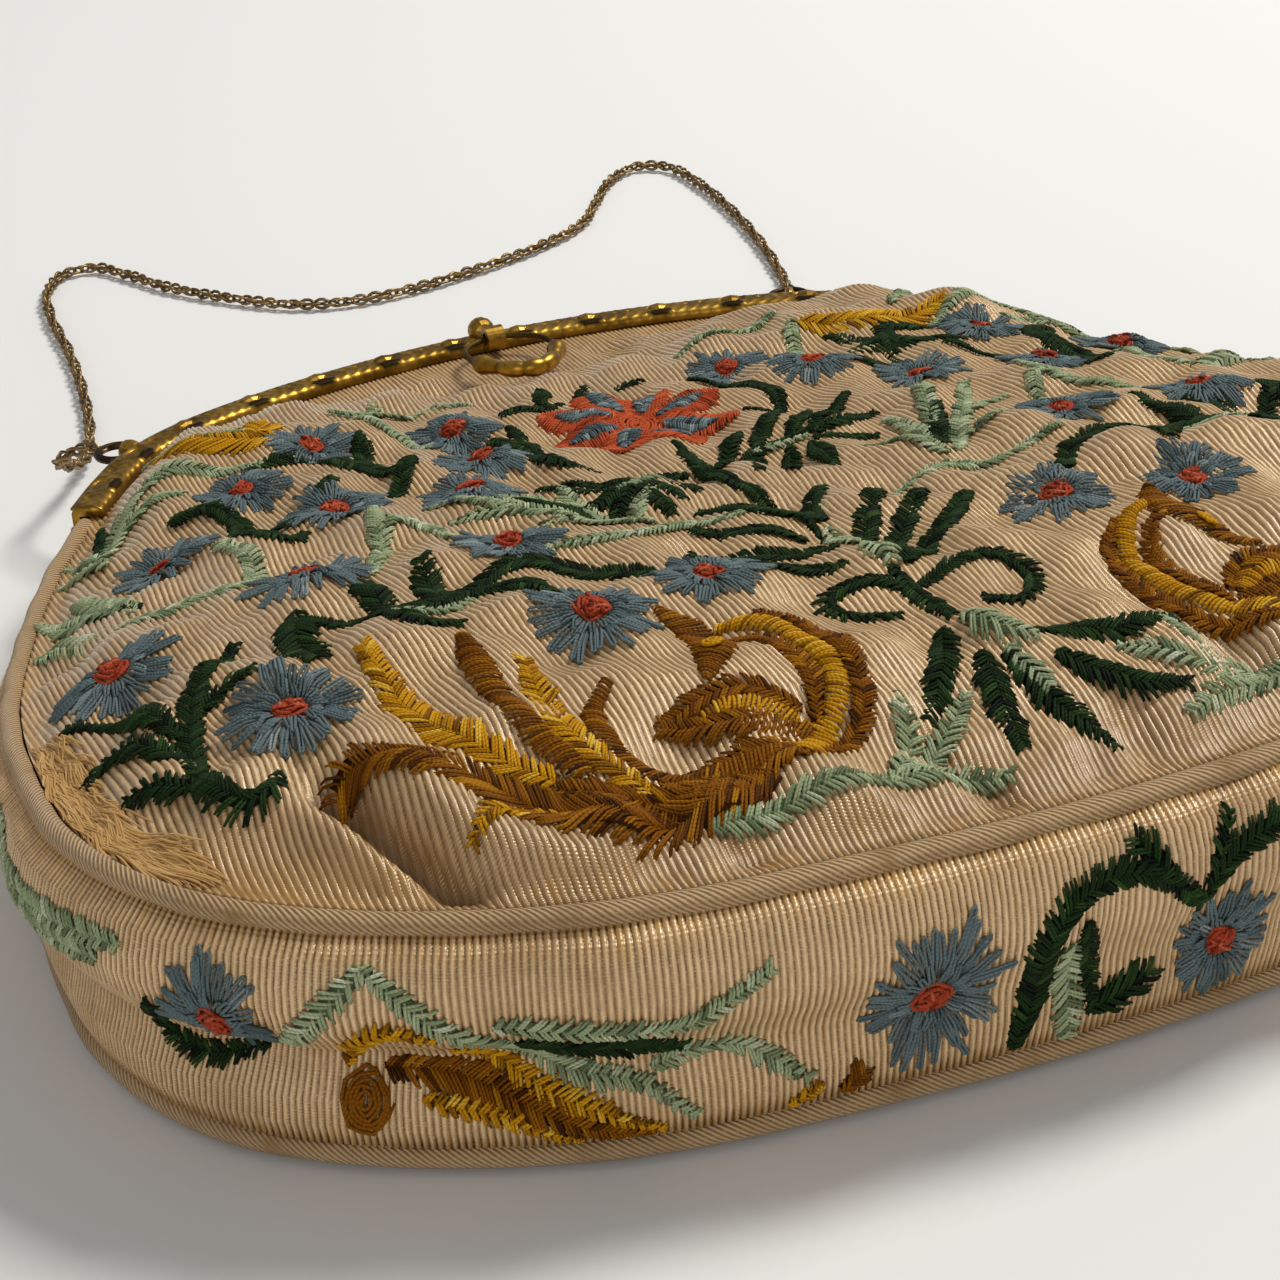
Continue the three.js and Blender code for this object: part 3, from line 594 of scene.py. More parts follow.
# The last colour is the painted shade in the grooves between the ribs.
SILK_FRONT = ribbed_silk("ribbed_silk", 9.0, srgb(74, 48, 22))
SILK_GUSSET = ribbed_silk("ribbed_silk_gusset", 6.0, srgb(96, 66, 36))
TWILL = twill_cloth()
DARK_GREEN = thread("dark_green_thread", (8, 18, 6), (28, 50, 18), (50, 78, 32))
PALE_GREEN = thread("pale_green_thread", (92, 106, 74), (162, 174, 134), (204, 210, 178))
BLUE = thread("blue_thread", (38, 50, 54), (100, 116, 118), (162, 174, 172), gloss=0.25)
ORANGE = thread("orange_red_thread", (104, 32, 14), (172, 68, 40), (200, 104, 70))
RUST = thread("rust_red_thread", (128, 46, 20), (192, 82, 42), (214, 114, 70))
GOLD = thread("gold_thread", (116, 70, 0), (208, 150, 12), (236, 194, 66))
BROWN = thread("brown_thread", (62, 30, 0), (138, 82, 0), (180, 122, 8))
BARED_SILK = thread(
    "golden_silk_strand", (158, 116, 62), (202, 160, 96), (224, 190, 132), pitch=40, gloss=0.4
)
# The gilt's dark colour also paints shade in the ornament's hollows.
GILT = worn_metal("worn_gilt", (196, 152, 60), (140, 104, 32), (24, 16, 6), 0.34, hollow="hollow")
GILT_PLAIN = worn_metal("worn_gilt_plain", (176, 136, 54), (124, 92, 30), (40, 28, 12), 0.38)
TARNISHED = worn_metal("dark_tarnish", (74, 56, 36), (34, 26, 18), (14, 10, 8), 0.42)
CHAIN_BRASS = worn_metal("dull_chain_brass", (156, 128, 84), (116, 92, 56), (48, 36, 20), 0.42)


# Cloth walls.


def wall_faces(columns, rows, flip=False):
    """Faces of a closed wall: an outer grid, an inner grid of every fourth column, and rims between them."""
    o = np.arange(columns * rows).reshape(columns, rows)
    inner_columns = (columns - 1) // 4 + 1
    i = columns * rows + np.arange(inner_columns * rows).reshape(inner_columns, rows)

    def grid(g):
        return np.stack([g[:-1, :-1], g[1:, :-1], g[1:, 1:], g[:-1, 1:]], axis=-1).reshape(-1, 4)

    def side(a, b):
        return np.stack([a[:-1], a[1:], b[1:], b[:-1]], axis=-1)

    def rim(a, b):
        a0, a1, a2, a3, a4 = (a[k : len(a) - 4 + k : 4] for k in range(5))
        b0, b1 = b[:-1], b[1:]
        fans = [(a1, a0, b0), (a2, a1, b0), (a2, b0, b1), (a3, a2, b1), (a4, a3, b1)]
        return np.concatenate([np.stack(fan, axis=-1) for fan in fans])

    quads = np.concatenate([grid(o), grid(i)[:, ::-1], side(o[0], i[0]), side(o[-1], i[-1])[:, ::-1]])
    tris = np.concatenate([rim(o[:, 0], i[:, 0]), rim(o[:, -1], i[:, -1])[:, ::-1]])
    if flip:
        return quads[:, ::-1], tris[:, ::-1]
    return quads, tris


def panel_plan(rows):
    """Plan grid of a panel: columns along the ribs, each from the lower to the upper edge of the cut, with
    the rows closer at the lower seam."""
    seam = SEAM - across_plan(SEAM, 1) * SEAM_INSET
    hem = FRAME_LINE + across_plan(FRAME_LINE, -1) * FRAME_TUCK
    left, right = np.argmin(seam[:, 0]), np.argmax(seam[:, 0])
    lower = seam[left : right + 1]
    upper = np.vstack([seam[left::-1], hem, seam[: right - 1 : -1]])
    upper = upper[np.argsort(upper[:, 0], kind="stable")]
    ribs = int((lower[-1, 0] - lower[0, 0]) / RIB_PITCH)
    x = np.linspace(lower[0, 0] + PLAN_MARGIN, lower[-1, 0] - PLAN_MARGIN, ribs * 4 + 1)
    y_low = np.interp(x, lower[:, 0], lower[:, 1])
    y_high = np.interp(x, upper[:, 0], upper[:, 1])
    share = np.linspace(0, 1, rows) ** ROWS_TO_SEAM
    y = y_low[:, None] + (y_high - y_low)[:, None] * share[None, :]
    return np.repeat(x[:, None], rows, axis=1), y


def rib_heights(columns):
    """Profile of the ribs over the columns, four points to a rib, with a slightly different height each."""
    shape = RIB_PROFILE[np.arange(columns) % 4]
    each = 0.85 + 0.3 * rng.random(columns // 4 + 1)
    return shape, shape * each[np.arange(columns) // 4] * RIB_HEIGHT


def wall_piece(name, outer, inner, shape, material, node, flip=False, **fields):
    """A cloth wall as a piece: its outer face and every fourth column of its inner one, with the ribs'
    profile and other fields over the grid as attributes."""
    fields["rib"] = np.repeat(shape[:, None], outer.shape[1], axis=1)
    attributes = {key: np.concatenate([field.ravel(), field[::4].ravel()]) for key, field in fields.items()}
    points = np.concatenate([outer.reshape(-1, 3), inner[::4].reshape(-1, 3)])
    quads, tris = wall_faces(*outer.shape[:2], flip=flip)
    return make_piece(name, points, quads, tris, material, attributes, replaces=[node])


def front_soil(x, y, edge):
    """Painted shade on the front: darker towards the lower seam, and in the hollows of the seam folds."""
    low = smoothstep(edge, LOW_SHADE["outer"], LOW_SHADE["full"])
    low = low * smoothstep(y, LOW_SHADE["high_y"], LOW_SHADE["low_y"]) * LOW_SHADE["share"]
    hollow = smoothstep(-fold_rise(x, y, SEAM_FOLDS), FOLD_SHADE["shallow"], FOLD_SHADE["deep"])
    return np.clip(low + FOLD_SHADE["share"] * hollow * smoothstep(edge, 1.5, 5), 0, FOLD_SHADE["most"])


def build_front_panel():
    """Front wall: the ribs ride on the domed outer face, and two slow waves shift them sideways."""
    x, y = panel_plan(FRONT_ROWS)
    shape, ridge = rib_heights(len(x))
    middle = from_field(FRONT_FIELD, x, y)
    edge = from_field(EDGE_FIELD, x, y)
    drift = sum(shift * np.sin(y / run_y + x / run_x) for shift, run_y, run_x in DRIFT)
    drift = drift * smoothstep(edge, 2, 16)
    low = ridge[:, None] - RIB_HEIGHT / 2
    outer = np.stack([x + drift, y, middle + WALL / 2 + low], axis=-1)
    inner = np.stack([x, y, middle - WALL / 2], axis=-1)
    from_bare = np.hypot(x - BARE["x"], y - BARE["y"])
    bare = smoothstep(from_bare, BARE["radius"], BARE["radius"] * 0.5) * smoothstep(edge, 10, 4)
    return wall_piece(
        "front_panel_silk", outer, inner, shape, SILK_FRONT, "front_panel",
        edge=edge, along=y, across=x, bare=bare, soil=front_soil(x, y, edge),
    )


def build_back_panel():
    """Back wall: flat where it lies, rising to the back seam near its edges, ribbed on its lower face."""
    x, y = panel_plan(BACK_ROWS)
    shape, ridge = rib_heights(len(x))
    edge = from_field(EDGE_FIELD, x, y)
    seam = seam_height(y, BACK_SEAM_Z)
    to_frame = smoothstep(y, BACK_SEAM_Z["low_y"], BACK_SEAM_Z["high_y"])
    flat_from = BACK_FLAT_FROM["bottom"] + (BACK_FLAT_FROM["frame"] - BACK_FLAT_FROM["bottom"]) * to_frame
    middle = WALL / 2 + (seam - WALL / 2) * (1 - smoothstep(edge, DOME["hem"], flat_from))
    outer = np.stack([x, y, middle - WALL / 2 + RIB_HEIGHT - ridge[:, None]], axis=-1)
    inner = np.stack([x, y, middle + WALL / 2], axis=-1)
    return wall_piece(
        "back_panel_silk", outer, inner, shape, SILK_FRONT, "back_panel", flip=True,
        edge=edge, along=y, across=x,
    )


def build_gusset():
    """Gusset wall: ribs from the front seam down to the back seam, on the bulged and creased strip."""
    ribs = int((SEAM_LENGTH - 1) / RIB_PITCH)
    u = np.linspace(-SEAM_LENGTH / 2 + 0.5, SEAM_LENGTH / 2 - 0.5, ribs * 4 + 1)
    uu, dd = np.meshgrid(u, np.linspace(0, 1, GUSSET_ROWS), indexing="ij")
    shape, ridge = rib_heights(len(u))
    middle, normal, depth = gusset_wall(uu, dd)
    outer = middle + normal * (WALL / 2 + ridge[:, None, None] - RIB_HEIGHT / 2)
    inner = middle - normal * WALL / 2
    run = dd * depth
    edge = np.minimum(run, depth - run) + 1.0
    return wall_piece(
        "gusset_silk", outer, inner, shape, SILK_GUSSET, "gusset", flip=True,
        edge=edge, along=run, across=uu,
    )


# Tubes: stitches, cords, links.


def fan(rings):
    """Triangles that close each ring of point numbers from its first point."""
    first = np.repeat(rings[:, :1], rings.shape[1] - 2, axis=1)
    return np.stack([first, rings[:, 1:-1], rings[:, 2:]], axis=-1).reshape(-1, 3)


def tubes(paths, ups, width, height, ends, sides=5, closed=False):
    """Tubes along many paths at once: an ellipse with its axes across and along `ups` is carried along each
    path, scaled by `ends` at each ring. An open tube has flat ends, and a closed one joins up with itself.
    Gives points, quads, triangles and lengthwise and turn values."""
    n, k, _ = paths.shape
    if closed:
        tangent = unit(np.roll(paths, -1, axis=1) - np.roll(paths, 1, axis=1))
    else:
        tangent = unit(np.gradient(paths, axis=1))
    side = unit(np.cross(tangent, ups))
    top = np.cross(side, tangent)
    turn = -math.pi / 2 + 2 * math.pi * np.arange(sides) / sides
    wide = (np.asarray(width) * np.ones(n))[:, None] * np.asarray(ends)[None, :]
    tall = (np.asarray(height) * np.ones(n))[:, None] * np.asarray(ends)[None, :]
    points = (
        paths[:, :, None, :]
        + side[:, :, None, :] * np.cos(turn)[None, None, :, None] * wide[:, :, None, None]
        + top[:, :, None, :] * np.sin(turn)[None, None, :, None] * tall[:, :, None, None]
    )
    index = np.arange(n * k * sides).reshape(n, k, sides)
    around = np.roll(index, -1, axis=2)
    if closed:
        corners = [np.roll(index, -1, axis=1), np.roll(around, -1, axis=1), around, index]
        tris = np.empty((0, 3), int)
    else:
        corners = [index[:, 1:], around[:, 1:], around[:, :-1], index[:, :-1]]
        tris = np.concatenate([fan(index[:, 0]), fan(index[:, -1])[:, [0, 2, 1]]])
    quads = np.stack(corners, axis=-1).reshape(-1, 4)
    steps = np.linalg.norm(np.diff(paths, axis=1), axis=-1)
    run = np.concatenate([np.zeros((n, 1)), np.cumsum(steps, axis=1)], axis=1)
    along = np.repeat(run[:, :, None], sides, axis=2)
    round_about = np.broadcast_to(np.arange(sides) / sides, (n, k, sides))
    return points.reshape(-1, 3), quads, tris, along.ravel(), round_about.ravel()


class Needlework:
    """Stitches of one thread gathered into one piece."""

    def __init__(self):
        self.points, self.quads, self.tris = [], [], []
        self.along, self.around, self.tint = [], [], []
        self.count = 0

    def lay(self, paths, ups, width, height, ends, tint, sides=5):
        """Adds tubes along the paths; tint is one tone for each."""
        points, quads, tris, along, around = tubes(paths, ups, width, height, ends, sides)
        self.points.append(points)
        self.quads.append(quads + self.count)
        self.tris.append(tris + self.count)
        self.along.append(along)
        self.around.append(around)
        self.tint.append(np.repeat(tint, paths.shape[1] * sides))
        self.count += len(points)

    def finish(self, name, material):
        """The gathered stitches as a piece of the bag."""
        points, quads, tris = (np.concatenate(part) for part in (self.points, self.quads, self.tris))
        fields = dict(along=self.along, around=self.around, tint=self.tint)
        attributes = {key: np.concatenate(parts) for key, parts in fields.items()}
        return make_piece(name, points, quads, tris, material, attributes)


# Stitches of each thread's bands: pitch, spread, taper.
STITCHES = dict(
    dark=(0.98, 1.24, 0.45), pale=(1.12, 1.6, 0.45), gold=(1.08, 1.35, 0.5), brown=(0.95, 1.45, 0.45),
    rust=(0.7, 1.0, 0.72), blue=(0.7, 1.0, 0.72),
)
STRAND_PAIR = (-0.5, 0.5)
ROPE_PITCH = 0.5
STRAND_APART = 0.42
STITCH_WIDTH = 0.21
STITCH_HEIGHT = 0.2
STITCH_STEPS = np.array([0.0, 0.34, 0.74, 1.0])
STITCH_ENDS = np.array([0.7, 1.0, 1.0, 0.75])
STITCH_LIFT = np.array([0.2, 0.4, 0.36, 0.02])
SPINE_CROSS = 0.3
FISHBONE_LEAN = 1.0
ROPE_STEPS = np.array([-1.0, -0.55, 0.0, 0.55, 1.0])
ROPE_LIFT = np.array([-0.05, 0.36, 0.5, 0.36, -0.05])
ROPE_ENDS = np.array([0.8, 1.0, 1.0, 1.0, 0.8])
ROPE_LEAN = 0.35
STRAND_SIDES = 4
ROPE_STRAND = (0.23, 0.2)
PADDING = dict(every=2, share=0.7, high=0.14, lift=0.07)


def band_frame(points, pitch):
    """Stations along a band's middle line at one pitch: places, tangents, normals and share of length."""
    count = max(4, int(length_of(spline(points, 60)) / pitch))
    line = spline(points, count)
    tangent = unit(np.gradient(line, axis=0))
    return line, tangent, np.column_stack([-tangent[:, 1], tangent[:, 0]]), np.linspace(0, 1, count)


def stitch_tones(count, spread=0.2):
    """One tone for each stitch, most of them near the thread's main colour."""
    return np.clip(0.48 + spread * rng.standard_normal(count), 0, 1)


def lay_band(works, key, surface, points, half_width, lean=FISHBONE_LEAN, lift=0.0, almond=False):
    """A worked band: along its middle line, pairs of strands slant from across the spine out to both edges,
    over a flat padding in the thread's deepest tone, painted shade between the strands. The half width grows
    from the root and narrows to a point at the tip, or swells as a half sine in an almond."""
    pitch, spread, taper = STITCHES[key]
    line, tangent, normal, share = band_frame(points, pitch)
    count = len(line)
    grow = smoothstep(share, -0.25, 0.18) * (1 - taper * smoothstep(share, 0.55, 1.0))
    if almond:
        grow = np.sin(math.pi * (0.12 + 0.86 * share)) ** 0.8
    padding = np.unique(np.append(np.arange(0, count, PADDING["every"]), count - 1))
    base, up = face_normals(surface, line[padding][None])
    base = base + up * (PADDING["lift"] + lift)
    wide = half_width * spread * PADDING["share"]
    # The padding takes tint 0, the thread's deepest tone: painted shade in the gaps between the strands.
    works[key].lay(base, up, wide, PADDING["high"], grow[padding], np.zeros(1), STRAND_SIDES)
    for hand in (1, -1):
        reach = half_width * spread * grow * (0.86 + 0.28 * rng.random(count))
        slant = lean * reach * (0.85 + 0.3 * rng.random(count))
        tone = stitch_tones(count)
        for strand in STRAND_PAIR:
            aside = tangent * strand * STRAND_APART
            start = line - hand * normal * SPINE_CROSS + aside
            stop = line + hand * normal * reach[:, None] + tangent * slant[:, None] + aside
            stop = stop + 0.1 * rng.standard_normal((count, 2))
            plan = start[:, None, :] + (stop - start)[:, None, :] * STITCH_STEPS[None, :, None]
            base, up = face_normals(surface, plan)
            raised = base + up * (STITCH_LIFT[None, :, None] + lift + 0.1 * rng.random((count, 1, 1)))
            tint = np.clip(tone + 0.08 * rng.standard_normal(count), 0, 1)
            works[key].lay(raised, up, STITCH_WIDTH, STITCH_HEIGHT, STITCH_ENDS, tint, STRAND_SIDES)


def lay_rope(works, key, surface, points, half_width, lift=0.0, almond=False):
    """A padded rope: close strands cross the middle line from edge to edge over a rounded back. An almond
    swells in the middle as a half sine."""
    line, tangent, normal, share = band_frame(points, ROPE_PITCH)
    count = len(line)
    grow = smoothstep(share, -0.12, 0.1) * (1 - 0.4 * smoothstep(share, 0.8, 1.0))
    if almond:
        grow = np.sin(math.pi * (0.05 + 0.92 * share)) ** 0.8
    reach = half_width * grow * (0.88 + 0.24 * rng.random(count))
    lean = ROPE_LEAN * (0.6 + 0.8 * rng.random(count))
    across = normal * reach[:, None] + tangent * (reach * lean)[:, None]
    plan = line[:, None, :] + across[:, None, :] * ROPE_STEPS[None, :, None]
    base, up = face_normals(surface, plan)
    raised = base + up * (ROPE_LIFT[None, :, None] + lift + 0.14 * rng.random((count, 1, 1)))
    works[key].lay(raised, up, *ROPE_STRAND, ROPE_ENDS, stitch_tones(count), STRAND_SIDES)


PETALS = 8
LOOP_SHAPE = np.array([0.0, 0.46, 0.95, 1.0, 0.95, 0.46, 0.0])
LOOP_SIDE = np.array([-0.8, -1.0, -0.9, 0.0, 0.9, 1.0, 0.8])
LOOP_ENDS = np.array([0.7, 1, 1, 1, 1, 1, 0.7])
STRAND = 0.21
# Rings of loops in a flower: loops, start, stop, high, half gap of the strands.
LOOP_RINGS = [(44, 0.34, 1.0, 0.18, 0.26), (22, 0.25, 0.56, 0.42, 0.24)]


def lay_flower(petals, heart, surface, centre, radius, stretch, turn=0.0):
    """A flower: loops of strand fan out from the heart in two rings, bunched and lengthened toward eight
    petals, each loop bent a little to one side, round a knotted heart."""
    for loops, start, stop, high, half_gap in LOOP_RINGS:
        even = 2 * math.pi * (np.arange(loops) + 0.5 * rng.random(loops)) / loops
        angle = turn + even - 0.045 * np.sin(PETALS * even)
        point = 0.5 + 0.5 * np.cos(PETALS * even)
        outer = radius * stop * (0.82 + 0.16 * point) * (0.88 + 0.24 * rng.random(loops))
        inner = radius * start * (0.9 + 0.2 * rng.random(loops))
        bend = 0.07 * radius * rng.standard_normal(loops)
        out = np.stack([np.cos(angle), np.sin(angle)], axis=-1)
        side = np.stack([-np.sin(angle), np.cos(angle)], axis=-1)
        reach = inner[:, None] + (outer - inner)[:, None] * LOOP_SHAPE[None, :]
        sway = half_gap * LOOP_SIDE[None, :] + bend[:, None] * LOOP_SHAPE[None, :] ** 2
        plan = out[:, None, :] * reach[..., None] + side[:, None, :] * sway[..., None]
        plan = plan * np.array([1.0, stretch]) + np.asarray(centre, float)
        base, up = face_normals(surface, plan)
        arch = high + 0.34 * np.sin(math.pi * LOOP_SHAPE * 0.85) - 0.12 * LOOP_SHAPE**4
        raised = base + up * (arch[None, :, None] + 0.2 * rng.random((loops, 1, 1)))
        petals.lay(raised, up, STRAND, STRAND, LOOP_ENDS, stitch_tones(loops, 0.12), STRAND_SIDES)
    lay_knot(heart, surface, centre, radius * 0.28, stretch)


KNOT = dict(turns=4, steps=11, loops=9, rise=0.8)
KNOT_STRAND = (0.3, 0.28)
KNOT_LOOP = (0.26, 0.24)
COIL_STRAND = (0.28, 0.26)


def wind(work, surface, centre, stretch, angle, reach, height, strand):
    """One strand laid round a centre, at an angle, reach and height for each step."""
    plan = np.stack([np.cos(angle) * reach, np.sin(angle) * reach * stretch], axis=-1)
    base, up = face_normals(surface, (plan + np.asarray(centre, float))[None])
    ends = np.ones(len(angle))
    ends[[0, -1]] = 0.5
    work.lay(base + up * height[None, :, None], up, *strand, ends, np.array([0.5]))


def lay_knot(work, surface, centre, radius, stretch):
    """A knotted heart: a thick strand wound over a low dome, wavering in reach and height, with short loops
    across it."""
    share = np.linspace(0, 1, KNOT["turns"] * KNOT["steps"])
    angle = 2 * math.pi * KNOT["turns"] * share
    uneven = 1 + 0.12 * np.sin(3.3 * angle) + 0.08 * rng.standard_normal(len(share))
    height = 0.25 + KNOT["rise"] * np.sqrt(share) + 0.14 * np.sin(2.7 * angle)
    reach = radius * (1 - 0.9 * share) * uneven
    wind(work, surface, centre, stretch, angle, reach, height, KNOT_STRAND)
    turn = rng.uniform(0, 2 * math.pi, KNOT["loops"])
    middle = radius * 0.62 * np.sqrt(rng.random(KNOT["loops"]))
    heading = rng.uniform(0, 2 * math.pi, KNOT["loops"])
    spot = np.stack([np.cos(turn) * middle, np.sin(turn) * middle * stretch], axis=-1)
    run = np.stack([np.cos(heading), np.sin(heading)], axis=-1)
    spot = spot + np.asarray(centre, float)
    plan = spot[:, None, :] + run[:, None, :] * (ROPE_STEPS * radius * 0.42)[None, :, None]
    base, up = face_normals(surface, plan)
    crown = 0.4 + KNOT["rise"] * 0.75 + 0.25 * (1 - ROPE_STEPS**2)
    tint = rng.random(KNOT["loops"])
    work.lay(base + up * crown[None, :, None], up, *KNOT_LOOP, ROPE_ENDS, tint, STRAND_SIDES)


def lay_coil(work, surface, centre, radius, stretch=1.0, rise=0.75, lift=0.15):
    """A coiled spot: one strand wound from the rim to the middle over a low dome."""
    turns = max(2.0, radius / 0.52)
    count = int(turns * 14)
    share = np.linspace(0, 1, count)
    reach = radius * (1 - 0.9 * share) * (1 + 0.05 * rng.standard_normal(count))
    height = lift + rise * np.sqrt(share) + 0.06 * rng.standard_normal(count)
    wind(work, surface, centre, stretch, 2 * math.pi * turns * share, reach, height, COIL_STRAND)


# Flowers of the front: x, y, radius, stretch.
FLOWERS = [
    (-93, 0.5, 8.8, 1.15), (-79.5, -33.5, 8.3, 1.4), (-66, 5.5, 8.7, 1.15), (-42, -33, 8.1, 1.28),
    (-24.5, -28, 7.7, 1.1), (-40.5, -0.5, 7.7, 1.3), (-35.5, 28.5, 7.5, 1.25), (-28.5, 43.5, 7.3, 1.25),
    (-26, 63, 7, 1.25), (-53, 36.5, 8, 1.25), (-61.5, 55, 7.4, 1.2), (-77, 40, 7.8, 1.2), (-47, 69, 7, 1.2),
    (93, 0.5, 7.8, 1.15), (79.5, -33.5, 7.6, 1.3), (24, -28.5, 7.3, 1.2), (40.5, -34.5, 6.9, 1.2),
    (44, 3, 7.2, 1.25), (41.5, 40, 7.2, 1.25), (30.5, 54.5, 7, 1.25), (58.5, 32, 7.2, 1.25),
    (63.5, -1.5, 7.2, 1.25), (21.5, 67, 7, 1.25), (61.5, 57, 7.2, 1.2), (77, 40, 7.4, 1.2),
]
# Bands of the front, worked on both halves: thread, half width, points (distance from the middle, y).
HALF_BANDS = [
    ("brown", 2.5, [(36, -69.5), (50, -71), (58, -67.5), (63.5, -62), (67.5, -57.5), (71.5, -54.5),
                    (75, -51.8), (78, -50.8), (79.5, -51.3)]),
    ("gold", 1.8, [(58.5, -62), (63, -55), (66.5, -47), (68, -39), (68, -26)]),
    ("gold", 1.7, [(50, -67), (54, -58), (54.5, -50), (53, -39)]),
    ("gold", 1.2, [(59, -67), (62.5, -65), (66, -64.8), (69.5, -67)]),
    ("brown", 1.9, [(30, -67), (45, -68.3), (52, -67.5), (58, -63.5)]),
    ("brown", 1.4, [(31, -65), (40, -66.5), (47, -66)]),
    ("brown", 1.0, [(33, -69.5), (27.5, -68.2), (22.7, -64.5), (20.2, -58), (19.7, -51), (21.1, -45.3),
                    (24.4, -41.6)]),
    ("brown", 1.0, [(27.3, -62.5), (24.9, -56), (24.8, -50), (26.8, -46), (30.5, -43.4)]),
    ("brown", 1.3, [(28.5, -60.5), (33, -56.6), (38, -56.4), (43.5, -57.5)]),
    ("brown", 1.6, [(28, -63.5), (34, -62.3), (39.5, -60.8), (43.5, -58)]),
    ("pale", 1.0, [(45.5, -74), (38, -74), (30, -74.5), (22, -73.5)]),
    ("pale", 1.1, [(24, -74), (20, -70), (17.5, -63.5)]),
    ("pale", 1.1, [(21, -73.5), (16, -70.5), (10.5, -65.5)]),
    ("pale", 1.1, [(26, -74.5), (18.5, -75), (12, -77.5)]),
    ("dark", 1.5, [(84.3, -44.5), (86, -47.5), (88.5, -48), (91, -45.5), (92.5, -39)]),
    ("dark", 1.4, [(92.5, -40), (96, -36), (99, -34.5)]),
    ("dark", 1.4, [(92, -39), (91, -32), (89.5, -25), (86.5, -18), (79.5, -7.5)]),
    ("dark", 1.3, [(88.5, -23.5), (84.5, -21.5), (81, -22)]),
    ("dark", 1.5, [(91, -27), (94, -19), (97, -12), (100.5, -7.5)]),
    ("dark", 1.5, [(92, -32), (95.5, -25.5), (99, -22), (101.5, -23)]),
    ("dark", 1.8, [(29, -22), (33, -17), (38, -12.5), (44, -11.5), (51, -14), (58, -16.5), (64.5, -15),
                   (71, -8)]),
    ("dark", 2.4, [(70.5, -5), (73, -14), (73, -22)]),
    ("dark", 1.8, [(61.5, -15), (61.5, -9), (60.5, -2)]),
    ("dark", 1.8, [(54.5, -16), (54.5, -10), (53, -3)]),
    ("dark", 1.6, [(50, -14.5), (46.5, -18), (44, -23.5)]),
    ("dark", 1.7, [(62, -16), (60.5, -22), (56.5, -25.5)]),
    ("pale", 0.8, [(62, -18), (57, -19), (52, -16.5)]),
    ("pale", 1.3, [(98, 31), (91, 21.5), (86, 17.5), (78, 15.5), (73, 13), (70.5, 16), (69.5, 23),
                   (71, 30)]),
    ("pale", 1.3, [(86, 25), (90.5, 35.5), (94.5, 45)]),
    ("pale", 1.3, [(85.5, 21), (87.5, 32), (89, 44)]),
    ("dark", 0.9, [(84.5, 21.5), (89.5, 30)]),
    ("pale", 1.2, [(82.5, 55), (80, 62), (75.5, 69), (70, 71), (64, 68.5), (57, 63.5)]),
    ("pale", 1.0, [(82, 58), (84.5, 64), (86, 66)]),
    ("pale", 1.0, [(83, 51), (86, 57), (88.5, 59)]),
    ("pale", 1.0, [(79, 62.5), (74.5, 64), (69.5, 62)]),
    ("dark", 0.9, [(82, 60), (80, 71)]),
    ("pale", 0.9, [(55.5, 75.5), (62, 84), (67.5, 92)]),
    ("dark", 1.4, [(73, 53.5), (68.5, 52), (65.5, 46), (64.5, 36), (60.5, 35), (55, 41), (50.5, 46.5)]),
    ("dark", 1.3, [(66, 44), (66, 29), (63, 24), (60, 28.5)]),
    ("dark", 1.4, [(59, 62.5), (53, 64), (48.5, 63.5), (44.5, 56), (41, 43.5)]),
    ("dark", 1.3, [(43, 55), (41, 62), (40, 67.5)]),
    ("dark", 1.3, [(45, 36), (40.5, 43), (36.5, 53)]),
    ("pale", 0.9, [(58.5, 1.5), (54, 12), (50, 19), (47, 15.5), (46, 8)]),
    ("pale", 0.9, [(54, 13), (50.5, 26)]),
    ("pale", 0.9, [(39, 86), (32, 81.5), (24, 81.5), (18.5, 79)]),
    ("pale", 0.9, [(32, 82), (31, 89)]),
    ("pale", 0.9, [(37.5, 76.5), (34, 69), (31.5, 60)]),
    ("pale", 0.9, [(11, -9), (18, -7), (25, -8.5), (37, -7)]),
    ("pale", 1.0, [(22, -3.5), (20.5, 5), (16.5, 10)]),
    ("pale", 1.0, [(23.5, 4), (26, 14), (25.5, 20)]),
    ("pale", 1.0, [(28, 11), (32.5, 22), (35.5, 30)]),
    ("pale", 1.0, [(24, -3), (30, 7.5), (36, 17), (42, 27.5)]),
    ("pale", 1.0, [(34, 13), (38, 15.5), (42, 16.5)]),
    ("pale", 0.9, [(29, 3.5), (34.5, 4.5)]),
    ("dark", 1.5, [(23.5, 0), (27.5, 9), (32, 18)]),
]
# Ropes of the birds: thread, half width, points (distance from the middle, y).
HALF_ROPES = [
    ("brown", 1.75, [(55.5, -63), (57.5, -55), (58.5, -47), (58.5, -40), (57.5, -31)]),
    ("brown", 1.4, [(34, -66.5), (42, -66.8), (48.5, -63.5), (51, -57), (50, -52.5), (47, -49.5)]),
    ("gold", 1.35, [(27, -64.5), (24, -61), (22.2, -56), (22.2, -50), (24, -44.5), (26.6, -41.4),
                    (29.3, -40.2)]),
    ("gold", 2.3, [(32, -68.8), (29.8, -66.4), (26.8, -63.6)]),
    ("brown", 1.5, [(28.4, -63.6), (31, -62), (34.5, -60.9)]),
    ("brown", 1.4, [(28.5, -64.4), (32, -63.3), (36.5, -62)]),
    ("gold", 1.3, [(29.5, -61.5), (33, -59.3), (36.5, -58.6), (39.5, -59)]),
]
